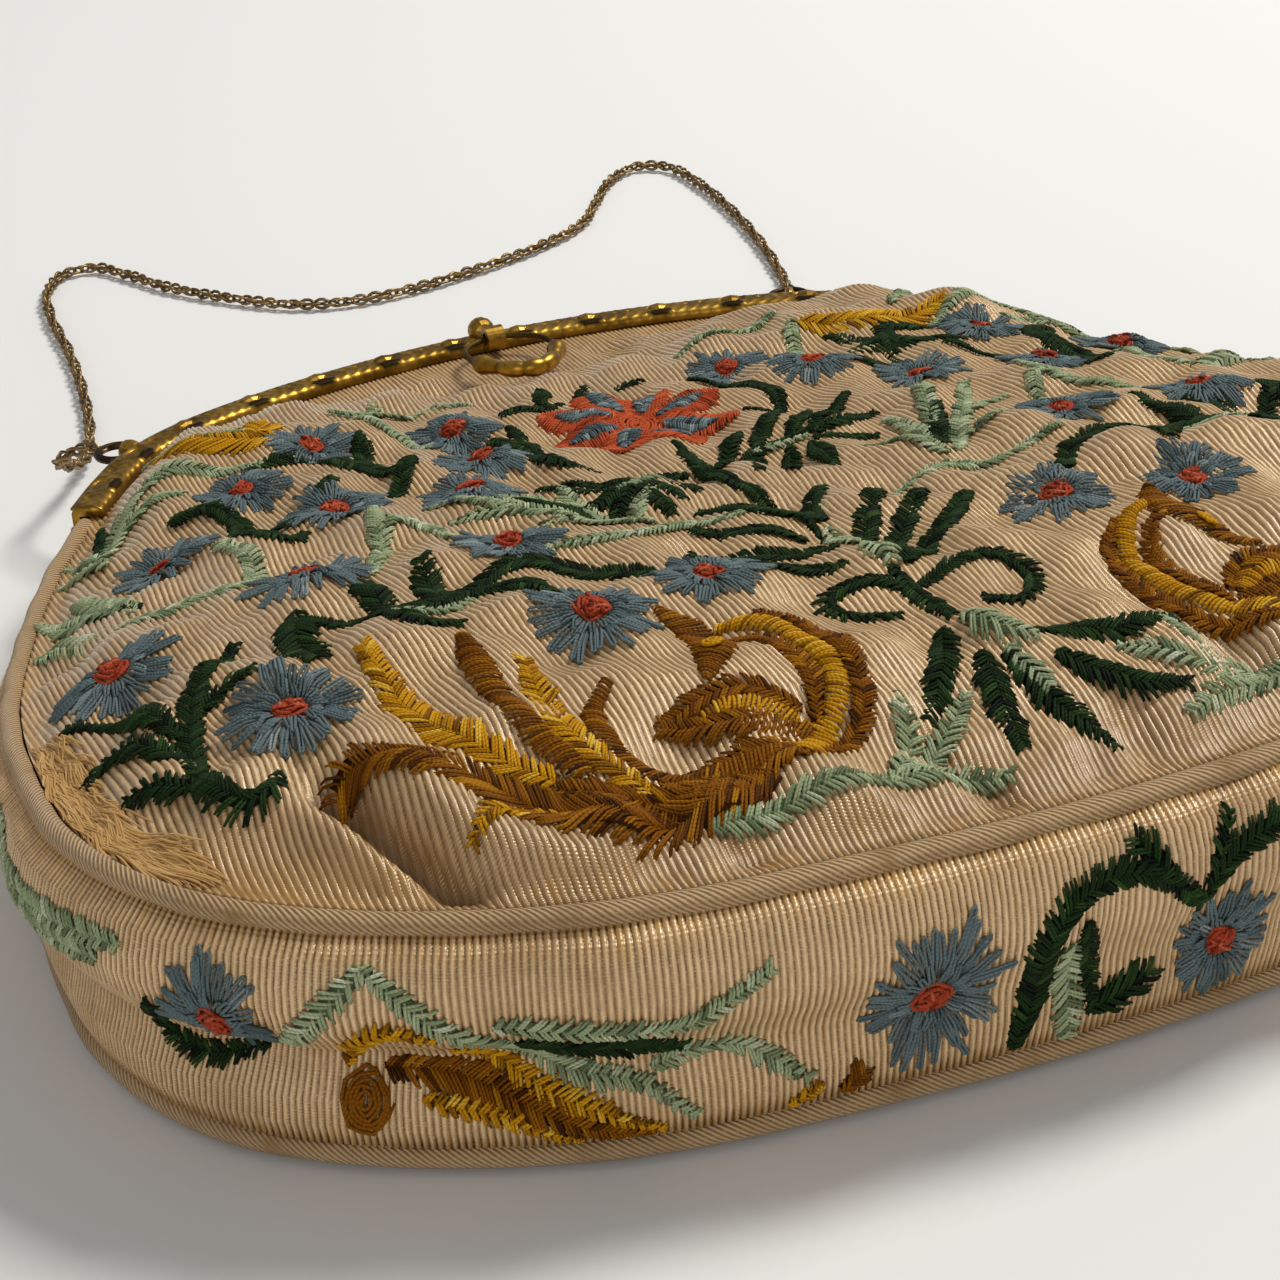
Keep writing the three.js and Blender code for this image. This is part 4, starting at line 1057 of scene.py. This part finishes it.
# Bands worked once, most of them along the middle: thread, half width, points (x, y).
MIDDLE_BANDS = [
    ("gold", 2.7, [(-51, 71), (-54, 72), (-57, 74), (-60, 77), (-62.5, 81.5), (-65.5, 88)]),
    ("gold", 2.6, [(-54, 74), (-51.5, 82), (-49.5, 90)]),
    ("gold", 1.5, [(-52, 74), (-50, 72), (-46.5, 69)]),
    ("gold", 2.5, [(38, 75), (42, 71), (46, 67.5), (51, 67), (57, 69), (61.5, 69.5)]),
    ("dark", 2.3, [(37.5, 57), (43, 54), (49, 51.5), (54, 52)]),
    ("dark", 0.9, [(-3.5, 22), (-4.5, 12), (-4, 0), (-4.5, -13), (-4.5, -19)]),
    ("dark", 1.1, [(-4.5, 16), (-2.5, 32)]),
    ("dark", 1.2, [(-3.5, 17.5), (4, 22), (10, 24.5), (15.5, 23.5)]),
    ("dark", 1.2, [(-0.5, 21), (6, 30.5)]),
    ("dark", 1.2, [(6, 24.5), (14.5, 35.5)]),
    ("dark", 1.2, [(12, 24.5), (20.5, 37)]),
    ("dark", 1.2, [(15, 23.5), (26.5, 36)]),
    ("dark", 1.2, [(15, 22.5), (25.5, 25.5)]),
    ("dark", 1.2, [(14, 21), (21.5, 17)]),
    ("dark", 1.2, [(12.5, 19), (10, 6.5)]),
    ("dark", 1.2, [(10, 20.5), (4, 7.5)]),
    ("dark", 1.2, [(5.5, 21), (0.5, 10.5)]),
    ("pale", 0.7, [(5.5, 23), (13, 22)]),
    ("dark", 1.2, [(-6, 20.5), (-11.5, 23), (-18, 20.5), (-22.5, 24.5)]),
    ("dark", 1.2, [(-16, 18.5), (-23.5, 17.5), (-27.5, 20.5)]),
    ("dark", 1.2, [(-17.5, 14), (-26.5, 10)]),
    ("dark", 1.2, [(-17.5, 13), (-24.5, 5)]),
    ("dark", 1.2, [(-16.5, 13), (-17, 1.5)]),
    ("dark", 1.2, [(-14.5, 16), (-13, 7.5)]),
    ("dark", 1.2, [(-11, 18), (-9.5, 10)]),
    ("pale", 0.7, [(-19.5, 13), (-10, 18.5)]),
    ("dark", 1.3, [(-23.5, 54.5), (-21, 46), (-21, 34), (-17, 29)]),
    ("dark", 1.2, [(-20, 44), (-19, 57)]),
    ("dark", 1.2, [(-6.5, 67.5), (-16.5, 66)]),
    ("dark", 1.2, [(-9.5, 69), (-7, 76.5)]),
    ("dark", 1.2, [(-2, 71.5), (1, 78)]),
    ("dark", 1.2, [(2, 70), (7.5, 71)]),
    ("dark", 1.1, [(14, 65.5), (19, 56), (20.5, 48), (18, 41.5), (14, 42.5)]),
    ("dark", 1.5, [(-2, -15), (-8, -8.5), (-13.5, -1.5)]),
    ("dark", 1.5, [(-7, -19), (-13, -14.5), (-18, -10)]),
    ("dark", 1.5, [(-6.5, -27), (-14, -21.5), (-21, -16)]),
    ("dark", 1.5, [(-8, -32.5), (-15, -29.5), (-21, -25)]),
    ("dark", 1.4, [(-3.5, -14.5), (0, -7), (4, -0.5)]),
    ("dark", 1.5, [(-2.5, -26), (2.5, -17.5), (9, -8)]),
    ("dark", 1.5, [(0, -28.5), (6, -21.5), (12, -14.5)]),
    ("dark", 1.6, [(-2.5, -37), (5.5, -29.5), (15.5, -20)]),
    ("pale", 1.2, [(-3, -17), (-4, -25.5)]),
    ("pale", 1.3, [(-3.5, -28), (-4, -35.5)]),
    ("dark", 1.3, [(-4.5, -42.5), (-8, -39.5), (-14, -39), (-14, -43), (-9, -46.5)]),
    ("dark", 1.3, [(-3, -41.5), (3, -40), (8, -41), (10, -45.5), (6.5, -50.5), (2.5, -49)]),
    ("dark", 1.2, [(-4.5, -37), (-4.5, -44), (-4, -51)]),
    ("dark", 1.6, [(-6, -53), (-10.5, -60.5), (-15.5, -66.5)]),
    ("dark", 1.6, [(-5, -60), (-7, -67.5), (-8, -74)]),
    ("dark", 1.5, [(-2.5, -61), (-1.5, -69), (1.5, -77)]),
    ("dark", 1.6, [(3, -58), (10, -62.5), (18.5, -62.5)]),
    ("dark", 1.6, [(2.5, -64), (8, -71), (13, -73.5)]),
    ("pale", 1.4, [(-3.5, -53), (-2, -57), (1.5, -59.5)]),
    ("pale", 1.0, [(-2, -60.5), (-1, -67.5)]),
]
BIRD_HEAD = dict(half_width=2.9, points=[(34, -34), (32, -39.5), (32.3, -45.5), (36.8, -54)])
BIRD_EYE = dict(x=33.0, y=-47.8, radius=1.3, lift=0.95)
ROSETTE = dict(x=-1, y=51, across=14.5, along=18, petals=8, turn=0.17)
ROSETTE_PETAL = dict(half_width=4.4, lean=0.35, reach=(0.16, 0.6, 1.0))
ROSETTE_ALMOND = dict(half_width=1.9, lean=0.3, lift=0.35, reach=(0.3, 0.55, 0.8))
ROSETTE_HEART = dict(radius=3.4, stretch=1.25)
# Bands of the gusset, on both halves: thread, half width, points (arc length from the bottom's middle,
# mm below the cord).
GUSSET_HALF_BANDS = [
    ("pale", 1.0, [(-86, 1.6), (-91, 7), (-95, 11.5)]),
    ("pale", 1.0, [(-86, 1.6), (-79.5, 6.5), (-72.5, 12.5), (-67, 17.5), (-58, 20), (-53.5, 23.5)]),
    ("pale", 1.0, [(-73, 8), (-63, 9), (-54, 10), (-50, 8), (-45.5, 5.5)]),
    ("pale", 1.0, [(-57, 18.5), (-49.5, 16), (-41, 21.5)]),
    ("dark", 2.1, [(-71, 11.5), (-63, 14), (-54.5, 15.5)]),
    ("gold", 1.0, [(-90.5, 18), (-87.5, 11), (-84, 8.5), (-79.5, 9)]),
    ("gold", 1.1, [(-78, 13), (-71, 18.5), (-63.5, 22), (-57, 25)]),
    ("brown", 1.4, [(-86, 18), (-79.5, 18), (-72, 20.5), (-64, 24), (-58.5, 25.5)]),
    ("gold", 0.9, [(-81.5, 20.5), (-74, 22), (-66, 25.5)]),
    ("pale", 1.0, [(-112.5, 3), (-121, 4), (-132, 4.5), (-142, 4), (-150, 2)]),
    ("pale", 1.0, [(-116, 5.5), (-125, 6.5), (-138, 8.5), (-148, 9)]),
    ("dark", 1.2, [(-100, 17), (-108, 18.5), (-114, 16), (-109.5, 9)]),
]
GUSSET_MIDDLE_BANDS = [
    ("dark", 1.6, [(-16.5, 25), (-14.5, 17), (-14, 10), (-11.5, 6), (-6, 4.3), (-0.5, 5.5), (4.5, 10)]),
    ("dark", 1.6, [(1, 6), (-2.5, 1.5)]),
    ("dark", 1.6, [(5, 10), (7, 7), (12.5, 4), (17, 3.5)]),
    ("dark", 1.2, [(6, 6), (8.5, 1.5)]),
    ("dark", 1.2, [(-9.5, 8.5), (-8.5, 13), (-7, 21)]),
    ("dark", 2.4, [(-7.5, 22.5), (-4.5, 21.5), (-0.5, 19.5)]),
    ("pale", 1.4, [(-11, 11), (-10.5, 17), (-9.5, 25)]),
    ("gold", 0.8, [(-42.5, 25.2), (-41, 24.4), (-39.5, 23.6)]),
    ("brown", 1.3, [(-36.5, 25), (-35.5, 24.2), (-34.5, 23.2)]),
]
# Flowers of the gusset: arc from the bottom's middle, mm below the cord, radius.
GUSSET_FLOWERS = [(-26.5, 14.0, 8.8), (9, 17.5, 6.6), (-102, 9, 6.4), (102, 9, 6.4), (31, 14, 7.4)]
GUSSET_STRETCH = 1.25
GUSSET_COIL = dict(u=-88, v=21, radius=3.0)


PALE_LIFT = 0.12
ROPE_RAISE = 0.15
HEAD_RAISE = 0.1
EYE_RISE = 0.3


def on_side(points, hand):
    """Points of one half: their distances from the middle, times the hand."""
    return [(hand * across, other) for across, other in points]


def work_front():
    """Needlework of the front, gathered by thread: bands, ropes, flowers, the birds' heads, the rosette."""
    work = {key: Needlework() for key in ("dark", "pale", "gold", "brown", "blue", "orange", "rust")}
    for key, half_width, points in HALF_BANDS:
        for hand in (-1, 1):
            lay_band(work, key, on_front, on_side(points, hand), half_width)
    for key, half_width, points in HALF_ROPES:
        for hand in (-1, 1):
            lay_rope(work, key, on_front, on_side(points, hand), half_width, lift=ROPE_RAISE)
    for key, half_width, points in MIDDLE_BANDS:
        lay_band(work, key, on_front, points, half_width, lift=PALE_LIFT if key == "pale" else 0.0)
    for x, y, radius, stretch in FLOWERS:
        lay_flower(work["blue"], work["orange"], on_front, (x, y), radius, stretch, rng.random())
    for hand in (-1, 1):
        head = on_side(BIRD_HEAD["points"], hand)
        lay_rope(work, "brown", on_front, head, BIRD_HEAD["half_width"], lift=HEAD_RAISE, almond=True)
        eye = (hand * BIRD_EYE["x"], BIRD_EYE["y"])
        lay_coil(work["gold"], on_front, eye, BIRD_EYE["radius"], rise=EYE_RISE, lift=BIRD_EYE["lift"])
    work_rosette(work)
    return work


def work_gusset():
    """Needlework of the gusset, gathered by thread: bands, flowers and two coils."""
    work = {key: Needlework() for key in ("dark", "pale", "gold", "brown", "blue", "orange")}
    for key, half_width, points in GUSSET_HALF_BANDS:
        for hand in (1, -1):
            lay_band(work, key, on_gusset, on_side(points, hand), half_width)
    for key, half_width, points in GUSSET_MIDDLE_BANDS:
        lay_band(work, key, on_gusset, points, half_width)
    for u, v, radius in GUSSET_FLOWERS:
        lay_flower(work["blue"], work["orange"], on_gusset, (u, v), radius, GUSSET_STRETCH, rng.random())
    for hand in (1, -1):
        centre = (hand * GUSSET_COIL["u"], GUSSET_COIL["v"])
        lay_coil(work["brown"], on_gusset, centre, GUSSET_COIL["radius"])
    return work


def build_embroidery():
    """All the needlework, one piece for each thread and wall."""
    finishes = dict(
        dark=("leaves", DARK_GREEN), pale=("sprigs", PALE_GREEN), gold=("bird_feathers_gold", GOLD),
        brown=("bird_feathers_brown", BROWN), blue=("flower_petals", BLUE), orange=("flower_hearts", ORANGE),
        rust=("rosette_petals", RUST),
    )
    for wall, work in (("front", work_front()), ("gusset", work_gusset())):
        for key, stitches in work.items():
            name, finish = finishes[key]
            stitches.finish(f"{name}_{wall}", finish)


def work_rosette(work):
    """The big flower under the clasp: leaf-like petals round an oval, each with a blue almond inside."""
    centre = np.array([ROSETTE["x"], ROSETTE["y"]])
    size = np.array([ROSETTE["across"], ROSETTE["along"]])
    for k in range(ROSETTE["petals"]):
        angle = 2 * math.pi * k / ROSETTE["petals"] + ROSETTE["turn"]
        out = np.array([math.cos(angle), math.sin(angle)])
        for key, leaf in (("rust", ROSETTE_PETAL), ("blue", ROSETTE_ALMOND)):
            points = [centre + out * size * share for share in leaf["reach"]]
            lift = leaf.get("lift", 0.0)
            lay_band(work, key, on_front, points, leaf["half_width"], leaf["lean"], lift, almond=True)
    lay_coil(work["rust"], on_front, centre, ROSETTE_HEART["radius"], ROSETTE_HEART["stretch"])


# Seam cords, chain, frays, frame and pull.

CORD = dict(steps=640, sides=12, ends=0.75)


def build_piping(name, seam, node):
    """Covered cord along a seam: a round tube, very slightly uneven, that follows the seam's height, with its
    lengthwise and round-about millimetres as attributes."""
    plan = spline(mirrored(SEAM_HALF), CORD["steps"])
    z = seam_height(plan[:, 1], seam)
    step = np.arange(len(plan))
    wobble = 0.1 * np.sin(step / 2.9) + 0.07 * np.sin(step / 7.3)
    path = np.column_stack([plan + across_plan(plan, 1) * wobble[:, None] * 0.8, z + wobble * 0.6])
    ups = np.tile([0.0, 0.0, 1.0], (len(path), 1))
    ends = np.ones(len(path))
    ends[[0, -1]] = CORD["ends"]
    points, quads, tris, along, around = tubes(
        path[None], ups[None], CORD_RADIUS, CORD_RADIUS, ends, CORD["sides"]
    )
    attributes = dict(along=along, around=around * 2 * math.pi * CORD_RADIUS)
    return make_piece(name, points, quads, tris, TWILL, attributes, replaces=[node])


LINK = dict(pitch=1.55, half_length=1.5, half_width=0.95, wire=0.32, steps=10, sides=4, turn=math.radians(78))
CHAIN_HEIGHT = 1.45
CHAIN_LOWEST = 0.05
# Route of the chain: down from the left ring (x, y, z), along the floor (x, y), and up to the right ring.
CHAIN_LEFT = [
    (-70.8, 113.6, 17.2), (-73.4, 117.4, 16.4), (-76, 124, 12.5), (-72, 136, 6.5), (-67.5, 148, 2.6),
]
CHAIN_LAID = [
    (-63.5, 163), (-60, 184), (-57.5, 207), (-56, 231), (-53, 247), (-47.5, 256), (-41, 256.5), (-36, 248),
    (-30.5, 235), (-21, 220.5), (-10.5, 209), (0, 204.5), (13, 204.5), (30, 209), (46, 215.5), (58.5, 224),
    (67.5, 237), (76.5, 250), (85, 256), (91, 252), (92, 236), (89, 209), (83.5, 182), (78, 163),
]
CHAIN_RIGHT = [(72.5, 149, 2.6), (67, 138.5, 6.4), (62.5, 130, 12), (60.2, 125, 16.2), (58.2, 121, 17.2)]
CHAIN_ROUTE = CHAIN_LEFT + [(x, y, CHAIN_HEIGHT) for x, y in CHAIN_LAID] + CHAIN_RIGHT


def build_chain():
    """Rope chain: oval links set along the route, each turned by a part turn from the one before it."""
    count = int(length_of(spline(CHAIN_ROUTE, 2400)) / LINK["pitch"])
    route = spline(CHAIN_ROUTE, count)
    tangent = unit(np.gradient(route, axis=0))
    side = unit(np.cross(tangent, [0.0, 0.0, 1.0]))
    top = np.cross(side, tangent)
    roll = np.arange(count) * LINK["turn"]
    across = side * np.cos(roll)[:, None] + top * np.sin(roll)[:, None]
    flat = np.cross(tangent, across)
    steps = 2 * math.pi * np.arange(LINK["steps"]) / LINK["steps"]
    paths = (
        route[:, None, :]
        + tangent[:, None, :] * (np.cos(steps) * LINK["half_length"])[None, :, None]
        + across[:, None, :] * (np.sin(steps) * LINK["half_width"])[None, :, None]
    )
    ups = np.repeat(flat[:, None, :], LINK["steps"], axis=1)
    points, quads, tris, along, around = tubes(
        paths, ups, LINK["wire"], LINK["wire"], np.ones(LINK["steps"]), LINK["sides"], closed=True
    )
    points[:, 2] = np.maximum(points[:, 2], CHAIN_LOWEST)
    return make_piece(
        "chain_links", points, quads, tris, CHAIN_BRASS,
        dict(along=along, around=around), replaces=["chain"],
    )


FRAY_COUNT = 700
FRAY_STEPS = np.linspace(0, 1, 7)
FRAY_SPAN = (0.185, 0.275)
FRAY_FROM_SEAM = (1.7, 5.4)
FRAY_RUN = (4.5, 10.0)
FRAY_ENDS = np.array([0.6, 1, 1, 1, 1, 1, 0.4])
FRAY_STRAND = (0.15, 0.08)


def build_frays():
    """Bared golden strands where the cloth has worn through beside the lower left seam: each lies along the
    seam, turned a little inwards, in bunches that wave together."""
    work = Needlework()
    seat = rng.uniform(*FRAY_SPAN, FRAY_COUNT)
    at = (seat * (len(SEAM) - 1)).astype(int)
    inward = -across_plan(SEAM, 1)[at]
    onward = unit(np.gradient(SEAM, axis=0)[at])
    start = SEAM[at] + inward * rng.uniform(*FRAY_FROM_SEAM, (FRAY_COUNT, 1))
    run = rng.uniform(*FRAY_RUN, (FRAY_COUNT, 1))
    bunch = np.round(seat * 200)
    turned = 0.1 + 0.16 * np.sin(bunch * 2.4)[:, None] + 0.05 * rng.standard_normal((FRAY_COUNT, 1))
    heading = onward + inward * turned
    wave = 0.4 * np.sin(bunch * 1.7)[:, None] * np.sin(FRAY_STEPS * 6.0)[None, :]
    plan = start[:, None, :] + heading[:, None, :] * (run * FRAY_STEPS)[..., None]
    plan = plan + inward[:, None, :] * wave[..., None]
    base, up = face_normals(on_front, plan)
    lift = 0.2 + 0.3 * np.sin(math.pi * FRAY_STEPS)[None, :] * rng.random((FRAY_COUNT, 1))
    raised = base + up * lift[..., None]
    work.lay(raised, up, *FRAY_STRAND, FRAY_ENDS, stitch_tones(FRAY_COUNT), STRAND_SIDES)
    return work.finish("frayed_strands", BARED_SILK)


FRAME_STRIP = dict(steps=620, across=18, pitch=12.6, bosses=5)
# Section of the strip: out from the frame's line, z.
STRIP_SECTION = [
    (2.5, 19.3), (2.3, 19.75), (1.6, 19.95), (-1.2, 19.95), (-2.2, 19.75), (-2.75, 19.2), (-2.85, 18.0),
]
BOSS = dict(out=0.7, along=2.4, across=1.35, high=0.8)
PIT = dict(out=-1.9, along=2.3, across=1.0, deep=0.3)
SMALL_BEAD = dict(out=0.7, from_boss=5.2, radius=0.75, high=0.4)
RIM = dict(pitch=1.15, high=0.16)
CHASED = dict(pitch=2.1, high=0.08)


def oval(along, across, long, wide):
    """Height of a half-ellipsoid of unit height over an oval: 1 in its middle, 0 at its rim and outside."""
    return np.sqrt(np.clip(1 - (along / long) ** 2 - (across / wide) ** 2, 0, 1))


def build_frame_ornament():
    """Ornament of the frame's face: a strip along the frame, rounded over its inner edge, with oval bosses, a
    pit beside each, small beads between, a beaded rim and a fine chased wave. The sum of those heights moves
    the strip's section outwards along its normal. The pits, the chased wave's valleys and the inner edge
    carry painted shade."""
    line = spline(mirrored(FRAME_HALF[::-1]), FRAME_STRIP["steps"])
    outward = across_plan(line, -1)
    outward *= np.sign(outward[len(line) // 2, 1])
    run = running_length(line)
    boss_x = (np.arange(2 * FRAME_STRIP["bosses"]) - FRAME_STRIP["bosses"] + 0.5) * FRAME_STRIP["pitch"]
    boss_run = np.interp(boss_x, line[:, 0], run)
    more = np.arange(1, 3) * FRAME_STRIP["pitch"]
    boss_run = np.concatenate([boss_run[0] - more, boss_run, boss_run[-1] + more])
    from_bosses = run[:, None] - boss_run[None, :]
    away = from_bosses[np.arange(len(run)), np.abs(from_bosses).argmin(axis=1)]
    section = spline(STRIP_SECTION, FRAME_STRIP["across"])
    lean = across_plan(section, -1)
    over = running_length(section)
    place = STRIP_SECTION[2][0] - (over - np.interp(STRIP_SECTION[2][0], section[::-1, 0], over[::-1]))
    along, across = np.meshgrid(away, place, indexing="ij")
    travel = np.repeat(run[:, None], len(place), axis=1)
    pit = oval(along, across - PIT["out"], PIT["along"], PIT["across"])
    boss = oval(along, across - BOSS["out"], BOSS["along"], BOSS["across"])
    bead_along = np.abs(along) - SMALL_BEAD["from_boss"]
    bead = oval(bead_along, across - SMALL_BEAD["out"], SMALL_BEAD["radius"], SMALL_BEAD["radius"])
    rim = np.abs(np.cos(math.pi * travel / RIM["pitch"]))
    rim = rim * smoothstep(across, 1.5, 1.9) * smoothstep(across, 2.4, 2.1)
    flat = smoothstep(across, 2.2, 1.6) * smoothstep(across, -3.4, -2.6)
    chased = np.sin(2 * math.pi * travel / CHASED["pitch"] + 2.5 * np.sin(across * 1.6)) * flat
    plain = (1 - boss) * (1 - bead)
    height = BOSS["high"] * boss + SMALL_BEAD["high"] * bead - PIT["deep"] * pit**0.6
    height = height + RIM["high"] * rim * plain + CHASED["high"] * chased * plain * (1 - pit)
    # Painted shade: the pits, the valleys of the chased wave and the strip's inner edge get the gilt's dark
    # colour.
    hollow = 1.6 * pit + 0.55 * plain * smoothstep(chased, 0.1, -0.9) + 0.5 * smoothstep(across, -2.8, -3.6)
    plan = section[None, :, 0] + height * lean[None, :, 0]
    z = section[None, :, 1] + height * lean[None, :, 1]
    top = np.concatenate([line[:, None, :] + outward[:, None, :] * plan[..., None], z[..., None]], axis=-1)
    index = np.arange(top.shape[0] * top.shape[1]).reshape(top.shape[:2])
    on = np.roll(index, -1, axis=1)
    quads = np.stack([index[:-1], on[:-1], on[1:], index[1:]], axis=-1).reshape(-1, 4)
    tris = np.concatenate([fan(index[:1])[:, [0, 2, 1]], fan(index[-1:])])
    attributes = dict(hollow=np.clip(hollow, 0, 0.97))
    return make_piece("frame_ornament", top.reshape(-1, 3), quads, tris, GILT, attributes)


PULL = dict(y=117.2, z=21.0, half_width=7.4, length=19.6, waist=0.18, lift=1.0)
PULL_WIRE = dict(arm=0.5, middle=1.35, steps=160, sides=14)
PULL_TIP = dict(angle=1.3, width=0.2, radius=0.9)
PULL_SCALLOP = dict(count=11, depth=0.34)


def build_pull():
    """Clasp pull: a crescent loop from the bar in the lug, thickest at its foot, scalloped there and beaded
    at both tips. The loop's half width is a sine narrowed at the foot, and its drop a cosine."""
    foot = np.array([[0.0, PULL["y"] - PULL["length"]]])
    rest = float(on_front(foot)[0, 2]) + PULL_WIRE["middle"] + PULL["lift"]
    slope = math.atan2(rest - PULL["z"], PULL["length"])
    angle = -math.pi + 2 * math.pi * np.arange(PULL_WIRE["steps"]) / PULL_WIRE["steps"]
    side = PULL["half_width"] * np.sin(angle) * (1 - PULL["waist"] * np.cos(angle))
    drop = PULL["length"] / 2 * (1 + np.cos(angle))
    path = np.column_stack([side, PULL["y"] - drop * math.cos(slope), PULL["z"] + drop * math.sin(slope)])
    crescent = smoothstep(np.abs(angle), 1.45, 1.15)
    scallop = np.abs(np.cos(PULL_SCALLOP["count"] * angle / 2)) ** 0.7 - 0.5
    swell = (PULL_WIRE["middle"] - PULL_WIRE["arm"]) * (0.45 + 0.55 * np.cos(angle))
    tip = np.exp(-(((np.abs(angle) - PULL_TIP["angle"]) / PULL_TIP["width"]) ** 2))
    radius = PULL_WIRE["arm"] + crescent * swell + PULL_TIP["radius"] * tip
    radius = radius + PULL_SCALLOP["depth"] * scallop * smoothstep(np.abs(angle), 1.15, 0.9)
    ups = np.tile([0.0, -math.sin(slope), math.cos(slope)], (len(path), 1))
    sides = PULL_WIRE["sides"]
    points, quads, tris, _, _ = tubes(path[None], ups[None], 1.0, 1.0, radius, sides, closed=True)
    # Painted shade: the thin arms and the hollows between the scallops get the gilt's dark colour.
    dark = np.maximum(0.8 * (1 - crescent), 0.6 * smoothstep(scallop, 0.0, -0.5) * crescent)
    return make_piece(
        "clasp_pull_crescent", points, quads, tris, GILT,
        dict(hollow=np.repeat(dark, sides)), body="pull", replaces=["clasp_pull"],
    )


front = build_front_panel()
back = build_back_panel()
gusset = build_gusset()
build_piping("piping_front_twill", FRONT_SEAM_Z, "piping_front")
build_piping("piping_back_twill", BACK_SEAM_Z, "piping_back")
build_embroidery()
build_frays()
build_chain()
build_frame_ornament()
build_pull()

METAL_FINISHES = dict(
    frame_front=GILT_PLAIN, frame_back=GILT_PLAIN, frame_rivet_left=GILT_PLAIN,
    frame_rivet_right=GILT_PLAIN, chain_ring_left=TARNISHED, chain_ring_right=TARNISHED,
)
for node_name, finish in METAL_FINISHES.items():
    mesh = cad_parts[node_name].data
    mesh.materials.clear()
    mesh.materials.append(finish)


# Floor, light and camera.

FLOOR_HALF = 2.5
floor_corners = [(x * FLOOR_HALF, y * FLOOR_HALF, 0) for x, y in ((-1, -1), (1, -1), (1, 1), (-1, 1))]
floor_mesh = bpy.data.meshes.new("floor")
floor_mesh.from_pydata(floor_corners, [], [(0, 1, 2, 3)])
floor_finish, floor_tree, floor_shader = new_material("pale_floor")
set_inputs(floor_tree, floor_shader, {"Base Color": srgb(236, 235, 232), "Roughness": 0.9})
floor_mesh.materials.append(floor_finish)
add_object("floor", floor_mesh)


LAMP_TARGET = (0, 0, 0.02)
LAMPS = dict(
    window_light=dict(place=(1.1, 0.35, 1.6), size=0.6, power=31.5, colour=(1.0, 0.98, 0.95)),
    front_fill=dict(place=(-0.8, -1.75, 0.8), size=1.5, power=10.8, colour=(1.0, 0.97, 0.93)),
)


def soft_light(name, place, size, power, colour):
    """A square area lamp at a place, aimed at the bag."""
    lamp = bpy.data.lights.new(name, "AREA")
    lamp.size = size
    lamp.energy = power
    lamp.color = colour
    made = add_object(name, lamp)
    aim = Vector(LAMP_TARGET) - Vector(place)
    made.matrix_world = Matrix.Translation(place) @ aim.to_track_quat("-Z", "Y").to_matrix().to_4x4()


for lamp_name, lamp_values in LAMPS.items():
    soft_light(lamp_name, **lamp_values)

world = bpy.data.worlds.new("studio")
world.use_nodes = True
background = world.node_tree.nodes["Background"]
set_inputs(world.node_tree, background, {"Color": (0.9, 0.92, 0.95, 1), "Strength": 0.3})
bpy.context.scene.world = world
bpy.context.scene.view_settings.view_transform = "Standard"

# The photograph's camera: its angles, its focal length in pixels of the square image, and its place in mm.
IMAGE_SIDE = 1280
FOCAL_PIXELS = 2700
CAMERA_TURN = math.radians(-21.55)
CAMERA_TILT = math.radians(26.62)
CAMERA_ROLL = math.radians(-4.06)
CAMERA_PLACE = (-142.0, -300.9, 181.8)
SENSOR = 36.0


def build_camera():
    """Camera set by its turn about Z, tilt above the floor and roll about the line of sight."""
    behind = Vector((
        math.sin(CAMERA_TURN) * math.cos(CAMERA_TILT),
        -math.cos(CAMERA_TURN) * math.cos(CAMERA_TILT),
        math.sin(CAMERA_TILT),
    ))
    right = (-behind).cross(Vector((0, 0, 1))).normalized()
    up = right.cross(-behind)
    cos_roll, sin_roll = math.cos(CAMERA_ROLL), math.sin(CAMERA_ROLL)
    right, up = right * cos_roll + up * sin_roll, up * cos_roll - right * sin_roll
    lens = bpy.data.cameras.new("camera")
    lens.sensor_width = SENSOR
    lens.lens = SENSOR * FOCAL_PIXELS / IMAGE_SIDE
    lens.clip_start = 0.01
    made = add_object("camera", lens)
    turn = Matrix((right, up, behind)).transposed().to_4x4()
    made.matrix_world = Matrix.Translation(Vector(CAMERA_PLACE) * MM) @ turn
    bpy.context.scene.camera = made


build_camera()
